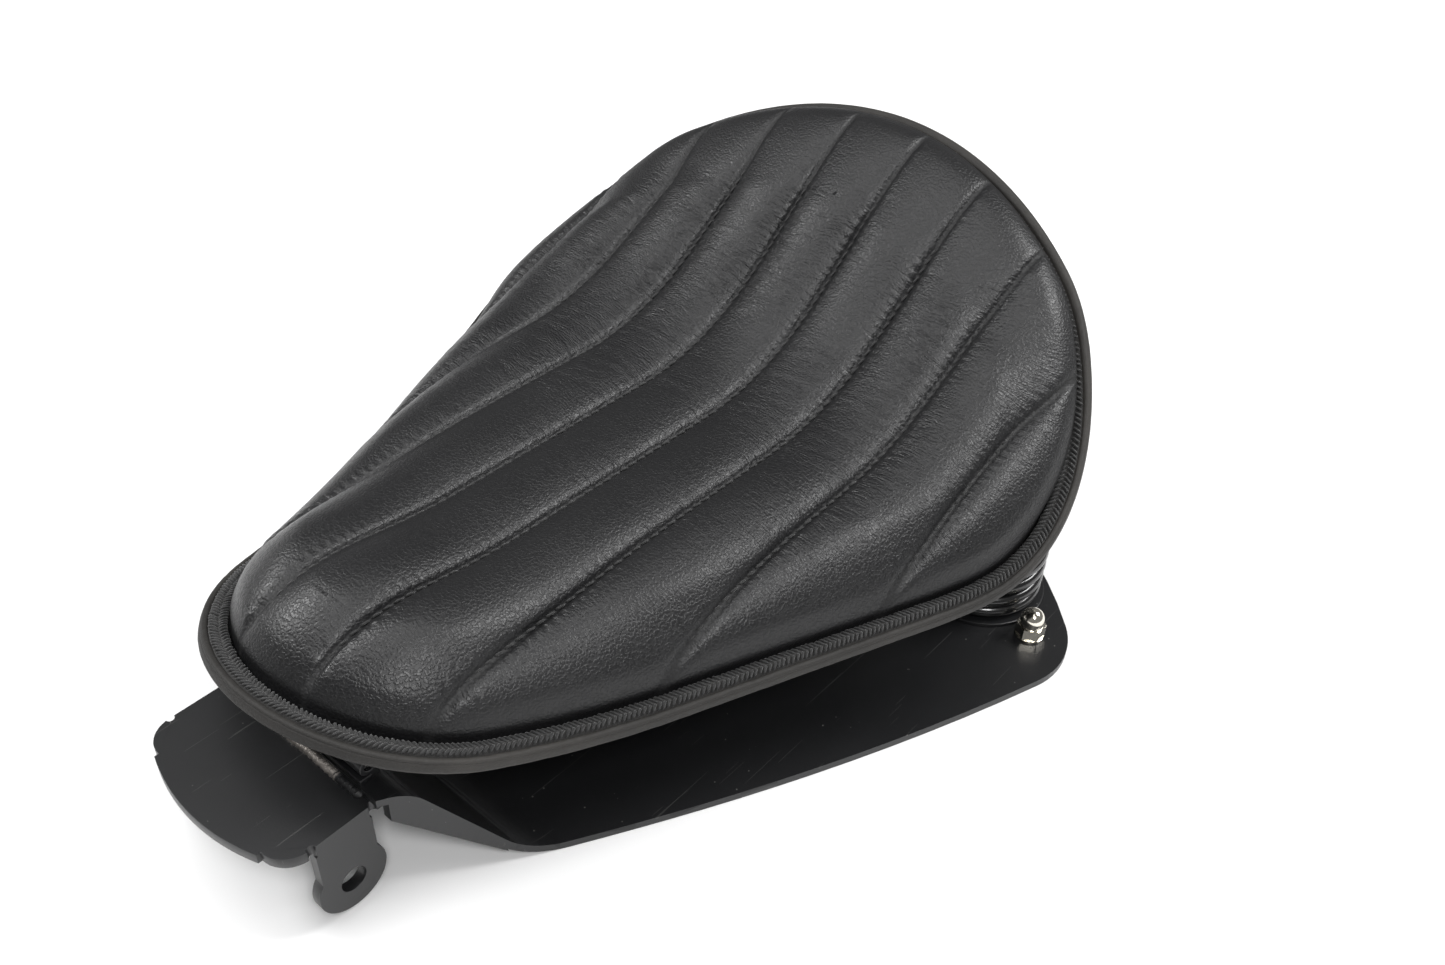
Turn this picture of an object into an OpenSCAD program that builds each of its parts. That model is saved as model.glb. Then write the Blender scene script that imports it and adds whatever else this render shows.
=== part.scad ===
// Sprung solo motorcycle seat: a channelled leather cushion on a curved steel pan, hinged at the nose on a
// pressed base plate with a two-eared front bracket, and carried at the back by two coil springs.
// Frame: origin on the axis of the front bracket's bolt holes, +X to the nose, +Y to the rider's left, +Z up.

/* [Seat outline] */
// Distance from the bolt axis back to the centre of the nose arc
nose_x = 64; // [60:0.5:75]
// Radius of the nose of the seat
nose_r = 68.5; // [54:0.5:78]
// Distance from the bolt axis back to the centres of the two rear corner arcs
corner_x = 228; // [210:1:245]
// Distance of the corner arc centres from the middle plane
corner_y = 55.5; // [48:0.5:62]
// Radius of the rear corners of the seat
corner_r = 80; // [74:0.5:86]
// Radius of the broad arc across the back of the seat
rear_r = 215; // [180:1:260]

/* [Seat side profile] */
// Height of the pan's flat middle above the hinge axis
pan_rise = 0.7; // [0.2:0.1:3]
// Distance back to where the nose starts to rise
nose_bend_x = 94; // [86:1:98]
// Radius of the rise towards the nose
nose_bend_r = 218; // [200:2:300]
// Distance back to where the kicked-up back starts to rise
kick_bend_x = 181; // [176:1:192]
// Radius of the kick-up
kick_bend_r = 132; // [124:1:150]
// Angle through which the kick-up turns
kick_angle = 53; // [48:1:60]

/* [Cushion and edge] */
// Thickness of the steel pan
pan_t = 2; // [1.6:0.1:3]
// Thickness of the leather of the edge binding above and below the pan
binding_t = 1.1; // [0.8:0.1:2.4]
// Width of the binding
binding_w = 8.2; // [7:0.1:10]
// Height of the raised overlock stitching on the binding
stitching_h = 0.8; // [0.5:0.1:1.2]
// Thickness of the cushion at the bolt axis, before it tapers to the back
cushion_h = 36; // [28:0.5:42]
// Thickness that the cushion loses for each millimetre back
cushion_taper = 0.015; // [0:0.0025:0.05]
// Width of the cushion's rounded shoulder
shoulder_w = 54; // [40:1:55]
// Thickness of the leather cover
cover_t = 1.5; // [1:0.1:2]

/* [Base plate] */
// Thickness of the base plate
plate_t = 3; // [2.5:0.25:3.5]
// Height of the underside of the base plate's front shelf, which is the top of the bracket
shelf_z = 26; // [24:0.5:27]
// Height that the plate drops from its front shelf to its flat floor
plate_drop = 43; // [38:0.5:46]
// Radius of the bend at the top of the drop
drop_r = 11; // [8:0.5:16]
// Radius of the bend at the foot of the drop
foot_r = 20; // [15:0.5:24]
// Angle of the drop from level
drop_angle = 56; // [50:1:64]
// Half width of the plate at its front edge
neck_w = 38.5; // [37:0.5:42]
// Radius of the plate's rear corners
plate_corner_r = 32; // [26:0.5:36]
// Distance of the rear corner arc centres from the middle plane
plate_corner_y = 115; // [110:0.5:118]
// Distance from the bolt axis back to the rear corner arc centres
plate_corner_x = 238; // [230:1:246]
// Radius of the broad arc across the back of the plate
plate_rear_r = 188; // [176:1:210]
// Depth of the side flange at its front end, from where it tapers away down the drop
flange_h = 11; // [9:0.5:13]

/* [Front bracket] */
// Outside width over the two ears
bracket_w = 73; // [66:0.5:76]
// Thickness of the bracket plate
bracket_t = 4; // [3:0.25:5]
// Distance that the front edge reaches ahead of the bolt axis at its middle
bracket_front = 27; // [22:0.5:32]
// Radius of the curved front edge
bracket_front_r = 78; // [60:1:110]
// Radius of the front bolt holes
ear_hole_r = 4.5; // [4:0.1:5.5]
// Radius of the round ear ends
ear_r = 12.2; // [10.5:0.1:14]
// Width of the neck of each ear
ear_neck = 20; // [16:0.5:22]

/* [Hinge] */
// Distance of the hinge axis behind the bolt axis
hinge_x = 15.5; // [15:0.1:17]
// Clearance between the knuckles and the lower hinge leaf
knuckle_gap = 0.3; // [0.2:0.1:1]
// Outer radius of the hinge knuckles
knuckle_r = 3.5; // [3:0.1:3.6]
// Radius of the hinge pin
pin_r = 1.75; // [1.5:0.05:2]
// Running clearance of the pin, on the radius
pin_gap = 0.05; // [0.02:0.01:0.1]
// Length over all five knuckles
hinge_w = 62; // [54:1:66]
// Thickness of the hinge leaves
leaf_t = 2; // [1.5:0.1:2]

/* [Springs] */
// Distance of the spring axes behind the bolt axis
spring_x = 258; // [254:0.5:262]
// Distance of the spring axes from the middle plane
spring_y = 100; // [95:0.5:103]
// Mean radius of the coil
coil_r = 21; // [19.5:0.25:22]
// Diameter of the spring wire
wire_d = 5; // [4:0.25:5.5]
// Working turns of the coil
coil_turns = 5; // [4:1:6]
// Height of the underside of the spring perches above the bolt axis
perch_z = 35; // [33:0.5:37]

/* [Fasteners] */
// Distance of the rear fixing screws behind the bolt axis
fix_x = 246; // [240:0.5:250]
// Distance of the rear fixing screws from the middle plane
fix_y = 130; // [128:0.5:134]
// Radius of the rear fixing screws, M6
fix_r = 3; // [2.5:0.5:3]
// Radius of the spring studs, M8
stud_r = 4; // [3:0.5:4]
// Distance of the hinge bolts behind the bolt axis
leaf_bolt_x = 102; // [101.5:0.5:106]
// Spacing of the hinge bolts across the seat
leaf_bolt_gap = 20; // [16:0.5:22]
// Radius of the hinge bolts, M5
leaf_bolt_r = 2.5; // [2:0.5:2.5]

/* [Hidden] */
$fn = 64;
big = 600;
bolt_gap = 0.25;
head_ratio = 1.8;
skin_gap = 0.1;

// Seat outline: two arcs and a straight on each side, and one broad arc at the back
rear_x = corner_x - sqrt(pow(rear_r - corner_r, 2) - pow(corner_y, 2));
line_angle = atan2(-corner_y, corner_x - nose_x)
    + acos((corner_r - nose_r) / norm([corner_x - nose_x, corner_y]));
back_angle = atan2(corner_y, rear_x - corner_x);
pan_inset = 2.3;
upper_t = binding_t + 0.4;
cover_inset = binding_w + 0.3;

// Base plate levels and outline
shelf_top = shelf_z + plate_t;
floor_top = shelf_top - plate_drop;
hinge_z = shelf_top + leaf_t + knuckle_r + knuckle_gap;
pan_z = hinge_z + pan_rise;
floor_z = floor_top - plate_t;
shelf_front = -11;
drop_x = -14;
straight_drop = plate_drop - (drop_r + foot_r) * (1 - cos(drop_angle));
straight_run = straight_drop / tan(drop_angle);
floor_x = drop_x - (drop_r + foot_r) * sin(drop_angle) - straight_run;
plate_rear_x = plate_corner_x - sqrt(pow(plate_rear_r - plate_corner_r, 2) - pow(plate_corner_y, 2));
plate_side_angle = 19.2;
flange_end = -43;

// Spring stack
seat_t = 1.5;
boss_r = coil_r - wire_d / 2 - 1.5;
boss_h = 7;
coil_low = floor_top + seat_t;
coil_high = perch_z - seat_t;
stud_nut_h = 6.5;
hex = 2 / sqrt(3);

// ---- helpers ---------------------------------------------------------------------------------------------

// Extrudes a side view, drawn as [x, z], across the seat between two values of y
module across(y0, y1) {
    translate([0, y1, 0])
        rotate([90, 0, 0])
            linear_extrude(y1 - y0)
                children();
}

// Repeats a piece on both sides of the middle plane
module both_sides() {
    children();
    mirror([0, 1, 0])
        children();
}

// Points along an arc, from step first to step n
function arc_points(c, r, a0, a1, n, first) = [for (i = [first:n]) c + r * [cos(a0 + (a1 - a0) * i / n),
    sin(a0 + (a1 - a0) * i / n)]];

// Half outline of the seat at an inset, nose to back; fine is the number of steps per coarse step
function half_outline(inset, fine) =
    let (n = [cos(line_angle), sin(line_angle)],
        t1 = [-nose_x, 0] + (nose_r - inset) * n,
        t2 = [-corner_x, corner_y] + (corner_r - inset) * n)
    concat(arc_points([-nose_x, 0], nose_r - inset, 0, line_angle, 6 * fine, 0),
        [for (i = [1:6]) t1 + (t2 - t1) * i / 6],
        arc_points([-corner_x, corner_y], corner_r - inset, line_angle, back_angle, 7 * fine, 1),
        arc_points([-rear_x, 0], rear_r - inset, back_angle, 180, 4 * fine, 1));

// Closes a half outline, which starts and ends on the middle plane, with its mirror image
function mirrored(h) = concat(h, [for (i = [len(h) - 2:-1:1]) [h[i][0], -h[i][1]]]);

// Side view of a layer that follows the pan, between two heights above the pan's upper face
module pan_band(low, high) {
    function line(h) = concat(
        [for (i = [8:-1:1]) [-nose_bend_x, pan_z + nose_bend_r]
            + (nose_bend_r - h) * [sin(i * 3.2), -cos(i * 3.2)]],
        [[-nose_bend_x, pan_z + h]],
        [for (i = [0:15]) [-kick_bend_x, pan_z + kick_bend_r]
            + (kick_bend_r - h) * [-sin(i * kick_angle / 15), -cos(i * kick_angle / 15)]],
        [[-kick_bend_x, pan_z + kick_bend_r] + (kick_bend_r - h) * [-sin(kick_angle), -cos(kick_angle)]
            + big / 3 * [-cos(kick_angle), sin(kick_angle)]]);
    up = line(high);
    polygon(concat(line(low), [for (i = [len(up) - 1:-1:0]) up[i]]));
}

// A layer on the pan between two insets of the plan shape; a negative inner inset leaves it whole
module pan_layer(low, high, outer, inner) {
    intersection() {
        across(-big / 4, big / 4)
            pan_band(low, high);
        translate([0, 0, floor_z])
            linear_extrude(big / 2)
                difference() {
                    polygon(mirrored(half_outline(outer, 2)));
                    if (inner > 0)
                        polygon(mirrored(half_outline(inner, 2)));
                }
    }
}

// Hexagon prism with a bore
module hex_nut(flats, high, bore) {
    difference() {
        cylinder(h = high, r = flats / 2 * hex, $fn = 6);
        translate([0, 0, -1])
            cylinder(h = high + 2, r = bore);
    }
}

// Height, slope and thickness of the cushion along the seat
function pan_slope(x) =
    x > -nose_bend_x ? asin((x + nose_bend_x) / nose_bend_r)
    : x < -kick_bend_x ? -min(kick_angle, asin(min(1, (-kick_bend_x - x) / kick_bend_r))) : 0;
function pan_top(x) =
    let (a = pan_slope(x))
    x > -nose_bend_x ? pan_z + nose_bend_r * (1 - cos(a))
    : x < -kick_bend_x
        ? pan_z + kick_bend_r * (1 - cos(a))
            + max(0, -kick_bend_x - x - kick_bend_r * sin(kick_angle)) * tan(kick_angle)
        : pan_z;
function shoulder(d) = pow(1 - pow(1 - min(1, d / shoulder_w), 2.6), 1 / 2.2);
function cushion_t(x) = cushion_h + cushion_taper * x;

function full_outline(inset) = mirrored(half_outline(inset, 1));
// One ring of a domed surface: inset from the cushion's foot, and height above the pan
function dome_ring(foot, d, less) = [for (p = full_outline(foot + d))
    let (a = pan_slope(p[0]), h = max(skin_gap, (cushion_t(p[0]) - less) * shoulder(d)))
    [p[0] - sin(a) * h, p[1], pan_top(p[0]) + cos(a) * h]];
function foot_ring(foot) = [for (p = full_outline(foot))
    let (a = pan_slope(p[0])) [p[0] - sin(a) * skin_gap, p[1], pan_top(p[0]) + cos(a) * skin_gap]];

dome_steps = [1.2, 4, 9, 18, 32, 46];
ring_n = len(full_outline(0));
function ring_faces(k, flip) = [for (i = [0:ring_n - 1])
    let (a = k * ring_n + i, b = k * ring_n + (i + 1) % ring_n)
    flip ? [a, b, b + ring_n, a + ring_n] : [a, a + ring_n, b + ring_n, b]];
function cap_faces(k, flip) = [for (i = [0:ring_n / 2 - 1])
    let (a = k * ring_n + i, b = a + 1, c = k * ring_n + (ring_n - i - 1) % ring_n,
        d = k * ring_n + (ring_n - i) % ring_n)
    i == 0 ? (flip ? [a, b, c] : [c, b, a])
    : i == ring_n / 2 - 1 ? (flip ? [a, b, d] : [d, b, a])
    : flip ? [a, b, c, d] : [d, c, b, a]];

// Closed dome standing on the pan
module dome(foot, less) {
    rings = concat([foot_ring(foot)], [for (d = dome_steps) dome_ring(foot, d, less)]);
    n = len(rings);
    polyhedron(points = [for (r = rings) each r],
        faces = concat([for (k = [0:n - 2]) each ring_faces(k, false)], cap_faces(0, true),
            cap_faces(n - 1, false)));
}

// ---- root body -------------------------------------------------------------------------------------------

// Side of the base plate, from its front edge to the rear corner, as a cubic curve moved inward by an inset
function plate_side(inset) =
    let (a = [shelf_front, neck_w], d = [-plate_corner_x, plate_corner_y]
            + plate_corner_r * [sin(plate_side_angle), cos(plate_side_angle)],
        b = a + [-34, 18.5], c = d + 118 * [cos(plate_side_angle), -sin(plate_side_angle)])
    [for (i = [0:20])
        let (t = i / 20, u = 1 - t,
            p = u * u * u * a + 3 * u * u * t * b + 3 * u * t * t * c + t * t * t * d,
            v = u * u * (b - a) + 2 * u * t * (c - b) + t * t * (d - c))
        p + inset * [-v[1], v[0]] / norm(v)];

// Half plan of the base plate: curved side, rear corner and broad back
function plate_half() =
    let (a = 90 - plate_side_angle, b = atan2(plate_corner_y, plate_rear_x - plate_corner_x))
    concat(plate_side(0),
        arc_points([-plate_corner_x, plate_corner_y], plate_corner_r, a, b, 12, 1),
        arc_points([-plate_rear_x, 0], plate_rear_r, b, 180, 12, 1));

module plate_plan() {
    h = plate_half();
    polygon(concat(h, [for (i = [len(h) - 2:-1:0]) [h[i][0], -h[i][1]]]));
}

// Top line of the shelf and the drop with its two bends, moved down by h
function drop_line(h) = concat([[shelf_front + 20, shelf_top - h]],
    [for (i = [0:10]) [drop_x, shelf_top - drop_r]
        + (drop_r - h) * [-sin(i * drop_angle / 10), cos(i * drop_angle / 10)]],
    [for (i = [10:-1:0]) [floor_x, floor_top + foot_r]
        + (foot_r + h) * [sin(i * drop_angle / 10), -cos(i * drop_angle / 10)]],
    [[floor_x - 25, floor_top - h]]);

// Side view of the shelf, the drop, and the start of the floor, t thick
module drop_band(t) {
    low = drop_line(t);
    polygon(concat(drop_line(0), [for (i = [len(low) - 1:-1:0]) low[i]]));
}

// Side flange: a wall inside the plate's side, whose lower edge runs straight down to meet the drop
module plate_flange() {
    side = plate_side(0);
    inner = plate_side(plate_t);
    middle = drop_line(plate_t / 2);
    intersection() {
        across(0, big / 4)
            polygon(concat([for (p = middle) if (p[0] > flange_end && p[0] <= drop_x) p],
                [[flange_end, floor_top + 3.5], [flange_end, floor_top + 3], [drop_x, shelf_top - flange_h]]));
        translate([0, 0, floor_z - 20])
            linear_extrude(big / 4)
                polygon(concat([for (i = [0:10]) side[i]], [for (i = [10:-1:0]) inner[i]]));
    }
}

module base_plate() {
    color([0.05, 0.05, 0.055])
        difference() {
            union() {
                intersection() {
                    across(-big / 4, big / 4)
                        drop_band(plate_t);
                    translate([0, 0, floor_z - 20])
                        linear_extrude(big / 4)
                            plate_plan();
                }
                translate([0, 0, floor_z])
                    linear_extrude(plate_t)
                        intersection() {
                            plate_plan();
                            translate([floor_x - big, -big / 2])
                                square([big, big]);
                        }
                both_sides()
                    plate_flange();
            }
            both_sides()
                translate([-fix_x, fix_y, floor_z]) {
                    translate([0, 0, -1])
                        cylinder(h = plate_t + 2, r = fix_r + bolt_gap);
                    countersink(0.2);
                }
        }
}

// Bracket welded under the shelf, with an ear folded down on each side
module front_bracket() {
    bend = 10;
    corner = 10;
    back = drop_x;
    color([0.05, 0.05, 0.055])
        difference() {
            union() {
                translate([0, 0, shelf_z - bracket_t])
                    linear_extrude(bracket_t)
                        intersection() {
                            translate([back, -bracket_w / 2])
                                square([bracket_front - back, bracket_w]);
                            union() {
                                translate([bracket_front - bracket_front_r, 0])
                                    circle(bracket_front_r);
                                translate([back, -bracket_w / 2])
                                    square([bend - back, bracket_w]);
                            }
                        }
                both_sides()
                    across(bracket_w / 2 - bracket_t, bracket_w / 2) {
                        circle(ear_r);
                        translate([-ear_neck / 2, 0])
                            square([ear_neck, shelf_z - bracket_t + 1]);
                    }
            }
            across(-bracket_w, bracket_w)
                circle(ear_hole_r);
            // Relief notches at both ends of each bend
            both_sides()
                for (x = [ear_neck / 2 + 0.8, -ear_neck / 2 - 0.8])
                    translate([x, bracket_w / 2, shelf_z - bracket_t - 1])
                        cylinder(h = bracket_t + 2, r = 1.4);
            // Rounded front corners
            both_sides()
                translate([0, 0, shelf_z - bracket_t - 1])
                    linear_extrude(bracket_t + 2)
                        difference() {
                            translate([bracket_front - corner - 6, bracket_w / 2 - corner])
                                square([corner * 2 + 6, corner * 2]);
                            translate([bracket_front - corner - 6, bracket_w / 2 - corner])
                                circle(corner);
                        }
        }
}

// Fillet weld along the front edge of the shelf
module bracket_weld() {
    leg = 3;
    color([0.35, 0.34, 0.33])
        across(-bracket_w / 2 + 4, bracket_w / 2 - 4)
            polygon([[shelf_front, shelf_z], [shelf_front + leg, shelf_z], [shelf_front + leg * 0.55,
                shelf_z + leg * 0.55], [shelf_front, shelf_z + leg * 0.95]]);
}

// Knuckles of one leaf of the hinge: first and step choose which of the five
knuckle_l = (hinge_w - 4 * 0.4) / 5;
module knuckles(first) {
    for (i = [first:2:4])
        translate([0, -hinge_w / 2 + i * (knuckle_l + 0.4), 0])
            children();
}

module knuckle() {
    across(0, knuckle_l)
        translate([-hinge_x, hinge_z])
            circle(knuckle_r);
}

module pin_bore() {
    across(-hinge_w, hinge_w)
        translate([-hinge_x, hinge_z])
            circle(pin_r + pin_gap);
}

module hinge_lower_leaf() {
    color([0.07, 0.07, 0.075])
        difference() {
            union() {
                across(-hinge_w / 2, hinge_w / 2)
                    translate([-hinge_x - knuckle_r, shelf_top])
                        square([knuckle_r + hinge_x + shelf_front - 0.5, leaf_t]);
                knuckles(0) {
                    knuckle();
                    across(0, knuckle_l)
                        translate([-hinge_x - knuckle_r, shelf_top])
                            square([knuckle_r, hinge_z - shelf_top]);
                }
            }
            pin_bore();
        }
}

module hinge_pin() {
    color([0.25, 0.25, 0.26])
        across(-hinge_w / 2 + 1.5, hinge_w / 2 - 1.5)
            translate([-hinge_x, hinge_z])
                circle(pin_r);
}

// Countersink for a rear fixing screw, opening downwards from z = 0
module countersink(recess) {
    translate([0, 0, -1])
        cylinder(h = 1 + recess, r = fix_r * head_ratio);
    translate([0, 0, recess])
        cylinder(h = fix_r * (head_ratio - 1), r1 = fix_r * head_ratio, r2 = fix_r);
}

module rear_fixing_screws() {
    recess = 0.2;
    color([0.6, 0.6, 0.6])
        both_sides()
            translate([-fix_x, fix_y, floor_z])
                union() {
                    translate([0, 0, recess])
                        cylinder(h = fix_r * (head_ratio - 1), r1 = fix_r * head_ratio, r2 = fix_r);
                    translate([0, 0, recess])
                        cylinder(h = plate_t + 8 - recess, r = fix_r);
                }
}

module rear_fixing_washers() {
    color([0.72, 0.71, 0.68])
        both_sides()
            translate([-fix_x, fix_y, floor_top])
                difference() {
                    cylinder(h = 1.2, r = fix_r * 1.9);
                    translate([0, 0, -1])
                        cylinder(h = 4, r = fix_r + bolt_gap);
                }
}

// Dome nut: hexagon foot and a rounded cap closed over the screw's end
module rear_dome_nuts() {
    flats = fix_r * 10 / 3;
    foot = 5;
    dome_r = flats * 0.46;
    color([0.8, 0.78, 0.74])
        both_sides()
            translate([-fix_x, fix_y, floor_top + 1.2])
                difference() {
                    union() {
                        cylinder(h = foot, r = flats / 2 * hex, $fn = 6);
                        translate([0, 0, foot])
                            cylinder(h = 2.2, r = dome_r);
                        translate([0, 0, foot + 2.2])
                            intersection() {
                                sphere(dome_r);
                                cylinder(h = dome_r, r = dome_r + 1);
                            }
                    }
                    translate([0, 0, -1])
                        cylinder(h = 8.2, r = fix_r);
                }
}

// ---- springs ---------------------------------------------------------------------------------------------

// Low studs stand up from the base plate, high studs hang from the perches
module spring_stud(len) {
    cylinder(h = len, r = stud_r);
}

module spring_seat() {
    difference() {
        union() {
            cylinder(h = seat_t, r = coil_r + wire_d / 2 + 2);
            cylinder(h = boss_h, r = boss_r);
        }
        translate([0, 0, -1])
            cylinder(h = boss_h - 2 + 1, r = boss_r - 2);
        translate([0, 0, -1])
            cylinder(h = boss_h + 2, r = stud_r + bolt_gap);
    }
}

module at_low() {
    both_sides()
        translate([-spring_x, spring_y, floor_top])
            children();
}

module at_high() {
    both_sides()
        translate([-spring_x, spring_y, perch_z])
            mirror([0, 0, 1])
                children();
}

module lower_spring_studs() {
    color([0.3, 0.3, 0.3])
        at_low()
            spring_stud(boss_h + stud_nut_h + 1.5);
}

module lower_spring_seats() {
    color([0.08, 0.08, 0.08])
        at_low()
            spring_seat();
}

module lower_spring_nuts() {
    color([0.6, 0.6, 0.6])
        at_low()
            translate([0, 0, boss_h])
                hex_nut(stud_r * 13 / 4, stud_nut_h, stud_r);
}

module upper_spring_studs() {
    color([0.3, 0.3, 0.3])
        at_high()
            spring_stud(boss_h + stud_nut_h + 1.5);
}

module upper_spring_seats() {
    color([0.08, 0.08, 0.08])
        at_high()
            spring_seat();
}

module upper_spring_nuts() {
    color([0.6, 0.6, 0.6])
        at_high()
            translate([0, 0, boss_h])
                hex_nut(stud_r * 13 / 4, stud_nut_h, stud_r);
}

// Round-wire coil: a flat closed turn at each end and an even helix between them
coil_sides = 8;
coil_step = 18;
function coil_height(a) =
    let (total = coil_turns * 360 + 720, f = min(1, max(0, (a - 360) / (coil_turns * 360))),
        e = wire_d * 1.02, rise = coil_high - coil_low - wire_d - 2 * e,
        low = min(1, a / 360) * e, high = max(0, (a - total + 360) / 360) * e)
    coil_low + wire_d / 2 + low + f * rise + high;
module coil(hand) {
    total = coil_turns * 360 + 720;
    n = floor(total / coil_step);
    rings = [for (i = [0:n]) [for (k = [0:coil_sides - 1])
        let (a = i * coil_step, b = k * 360 / coil_sides + 22.5, r = coil_r + wire_d / 2 * cos(b))
        [r * cos(a), hand * r * sin(a), coil_height(a) + wire_d / 2 * sin(b)]]];
    quads = [for (i = [0:n - 1]) for (k = [0:coil_sides - 1])
        let (a = i * coil_sides + k, b = i * coil_sides + (k + 1) % coil_sides)
        hand > 0 ? [a, b, b + coil_sides, a + coil_sides] : [a, a + coil_sides, b + coil_sides, b]];
    ends = [[for (k = [0:coil_sides - 1]) hand > 0 ? coil_sides - 1 - k : k],
        [for (k = [0:coil_sides - 1]) n * coil_sides + (hand > 0 ? k : coil_sides - 1 - k)]];
    polyhedron(points = [for (r = rings) each r], faces = concat(quads, ends));
}

module spring_left() {
    color([0.06, 0.06, 0.06])
        translate([-spring_x, spring_y, 0])
            coil(1);
}

module spring_right() {
    color([0.06, 0.06, 0.06])
        translate([-spring_x, -spring_y, 0])
            coil(-1);
}

// ---- seat body -------------------------------------------------------------------------------------------

module seat_pan() {
    color([0.1, 0.1, 0.1])
        difference() {
            pan_layer(-pan_t, 0, pan_inset, -1);
            leaf_bolt_holes(leaf_bolt_r + 1.2);
        }
}

module leaf_bolt_holes(r) {
    for (s = [-1, 0, 1])
        translate([-leaf_bolt_x, s * leaf_bolt_gap, pan_z - 20])
            cylinder(h = 40, r = r);
}

// Level perch for each spring, held to the sloping pan by two cheeks
module spring_perches() {
    t = 3;
    half = coil_r + wire_d / 2 + 1;
    color([0.08, 0.08, 0.08])
        both_sides() {
            translate([-spring_x, spring_y, perch_z]) {
                cylinder(h = t, r = half);
                translate([-half, -half, 0])
                    cube([2 * half, half, t]);
            }
            for (y = [spring_y - half, spring_y - 4])
                across(y, y + t)
                    difference() {
                        translate([-spring_x - half, perch_z])
                            square([2 * half, 80]);
                        pan_band(-pan_t, 90);
                    }
        }
}

module hinge_upper_leaf() {
    reach = 55;
    a = pan_slope(-reach);
    low = -pan_t - leaf_t;
    foot = pan_z + nose_bend_r - (nose_bend_r - low) * cos(a) - 0.15;
    color([0.07, 0.07, 0.075])
        difference() {
            union() {
                across(-hinge_w / 2, hinge_w / 2)
                    intersection() {
                        pan_band(low, -pan_t);
                        translate([-leaf_bolt_x - 9, 0])
                            square([leaf_bolt_x + 9 - reach, big]);
                    }
                difference() {
                    across(-hinge_w / 2, hinge_w / 2)
                        translate([-reach - 0.5, foot])
                            square([reach - hinge_x + 0.5, leaf_t]);
                    knuckles(0)
                        across(-0.4, knuckle_l + 0.4)
                            translate([-hinge_x, hinge_z])
                                circle(knuckle_r + 0.4);
                    // Room for the lower leaf and its knuckle roots
                    across(-hinge_w, hinge_w)
                        translate([-hinge_x - knuckle_r - 0.4, 0])
                            square([big, shelf_top + leaf_t + 0.4]);
                    knuckles(0)
                        across(-0.4, knuckle_l + 0.4)
                            translate([-hinge_x - knuckle_r - 0.4, 0])
                                square([big, big]);
                }
                knuckles(1)
                    knuckle();
            }
            pin_bore();
            leaf_bolt_holes(leaf_bolt_r + bolt_gap);
        }
}

module hinge_bolts() {
    head = 3;
    z = pan_z - pan_t - leaf_t;
    color([0.3, 0.3, 0.3])
        for (s = [-1, 0, 1])
            translate([-leaf_bolt_x, s * leaf_bolt_gap, z - head]) {
                cylinder(h = head, r = leaf_bolt_r * 1.8);
                cylinder(h = head + leaf_t + pan_t + 1.2, r = leaf_bolt_r);
            }
}

// Flanged tee nuts pressed down into the pan from above
module pan_tee_nuts() {
    color([0.6, 0.6, 0.55])
        for (s = [-1, 0, 1])
            translate([-leaf_bolt_x, s * leaf_bolt_gap, pan_z])
                difference() {
                    union() {
                        cylinder(h = 1.2, r = leaf_bolt_r * 2.8);
                        translate([0, 0, -pan_t])
                            cylinder(h = pan_t + 0.5, r = leaf_bolt_r + 1.2);
                    }
                    translate([0, 0, -pan_t - 1])
                        cylinder(h = pan_t + 4, r = leaf_bolt_r);
                }
}

module foam_pad() {
    color([0.75, 0.72, 0.6])
        difference() {
            dome(cover_inset + cover_t + skin_gap, cover_t + skin_gap);
            for (s = [-1, 0, 1])
                translate([-leaf_bolt_x, s * leaf_bolt_gap, pan_z - 1])
                    cylinder(h = 3, r = leaf_bolt_r * 2.8 + 1);
        }
}

module leather_cover() {
    outer = concat([foot_ring(cover_inset)], [for (d = dome_steps) dome_ring(cover_inset, d, 0)]);
    inner = concat([foot_ring(cover_inset + cover_t)], [for (d = dome_steps)
        dome_ring(cover_inset + cover_t, d, cover_t)]);
    n = len(outer);
    color([0.03, 0.03, 0.032])
        polyhedron(points = concat([for (r = outer) each r], [for (r = inner) each r]),
            faces = concat([for (k = [0:n - 2]) each ring_faces(k, false)], cap_faces(n - 1, false),
                [for (k = [n:2 * n - 2]) each ring_faces(k, true)], cap_faces(2 * n - 1, true),
                [for (i = [0:ring_n - 1]) let (j = (i + 1) % ring_n) [i, j, n * ring_n + j, n * ring_n + i]]));
}

// The binding is three strips: one on top of the pan, one round its edge and one under it
module binding_upper() {
    color([0.06, 0.055, 0.052])
        pan_layer(0, upper_t, 0, binding_w);
}

module binding_edge() {
    color([0.08, 0.07, 0.065])
        pan_layer(-pan_t, 0, 0, pan_inset);
}

module binding_lower() {
    color([0.06, 0.055, 0.052])
        pan_layer(-pan_t - binding_t, -pan_t, 0, binding_w);
}

module edge_stitching() {
    color([0.02, 0.02, 0.02])
        pan_layer(upper_t, upper_t + stitching_h, 1.2, binding_w - 1);
}

base_plate();
front_bracket();
bracket_weld();
hinge_lower_leaf();
hinge_pin();
rear_fixing_screws();
rear_fixing_washers();
rear_dome_nuts();
lower_spring_studs();
lower_spring_seats();
lower_spring_nuts();
spring_left();
spring_right();
seat_pan();
spring_perches();
upper_spring_studs();
upper_spring_seats();
upper_spring_nuts();
hinge_upper_leaf();
hinge_bolts();
pan_tee_nuts();
foam_pad();
leather_cover();
binding_upper();
binding_edge();
binding_lower();
edge_stitching();
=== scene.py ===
"""Sprung solo motorcycle seat: channelled leather cushion, stitched edge, coil springs and steelwork.

Lengths are in metres. The origin is on the axis of the front bolt holes, +X to the nose, +Y to the rider's left and
+Z up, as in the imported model."""

import math

import bpy
import numpy as np
from mathutils import Matrix, Vector


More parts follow.
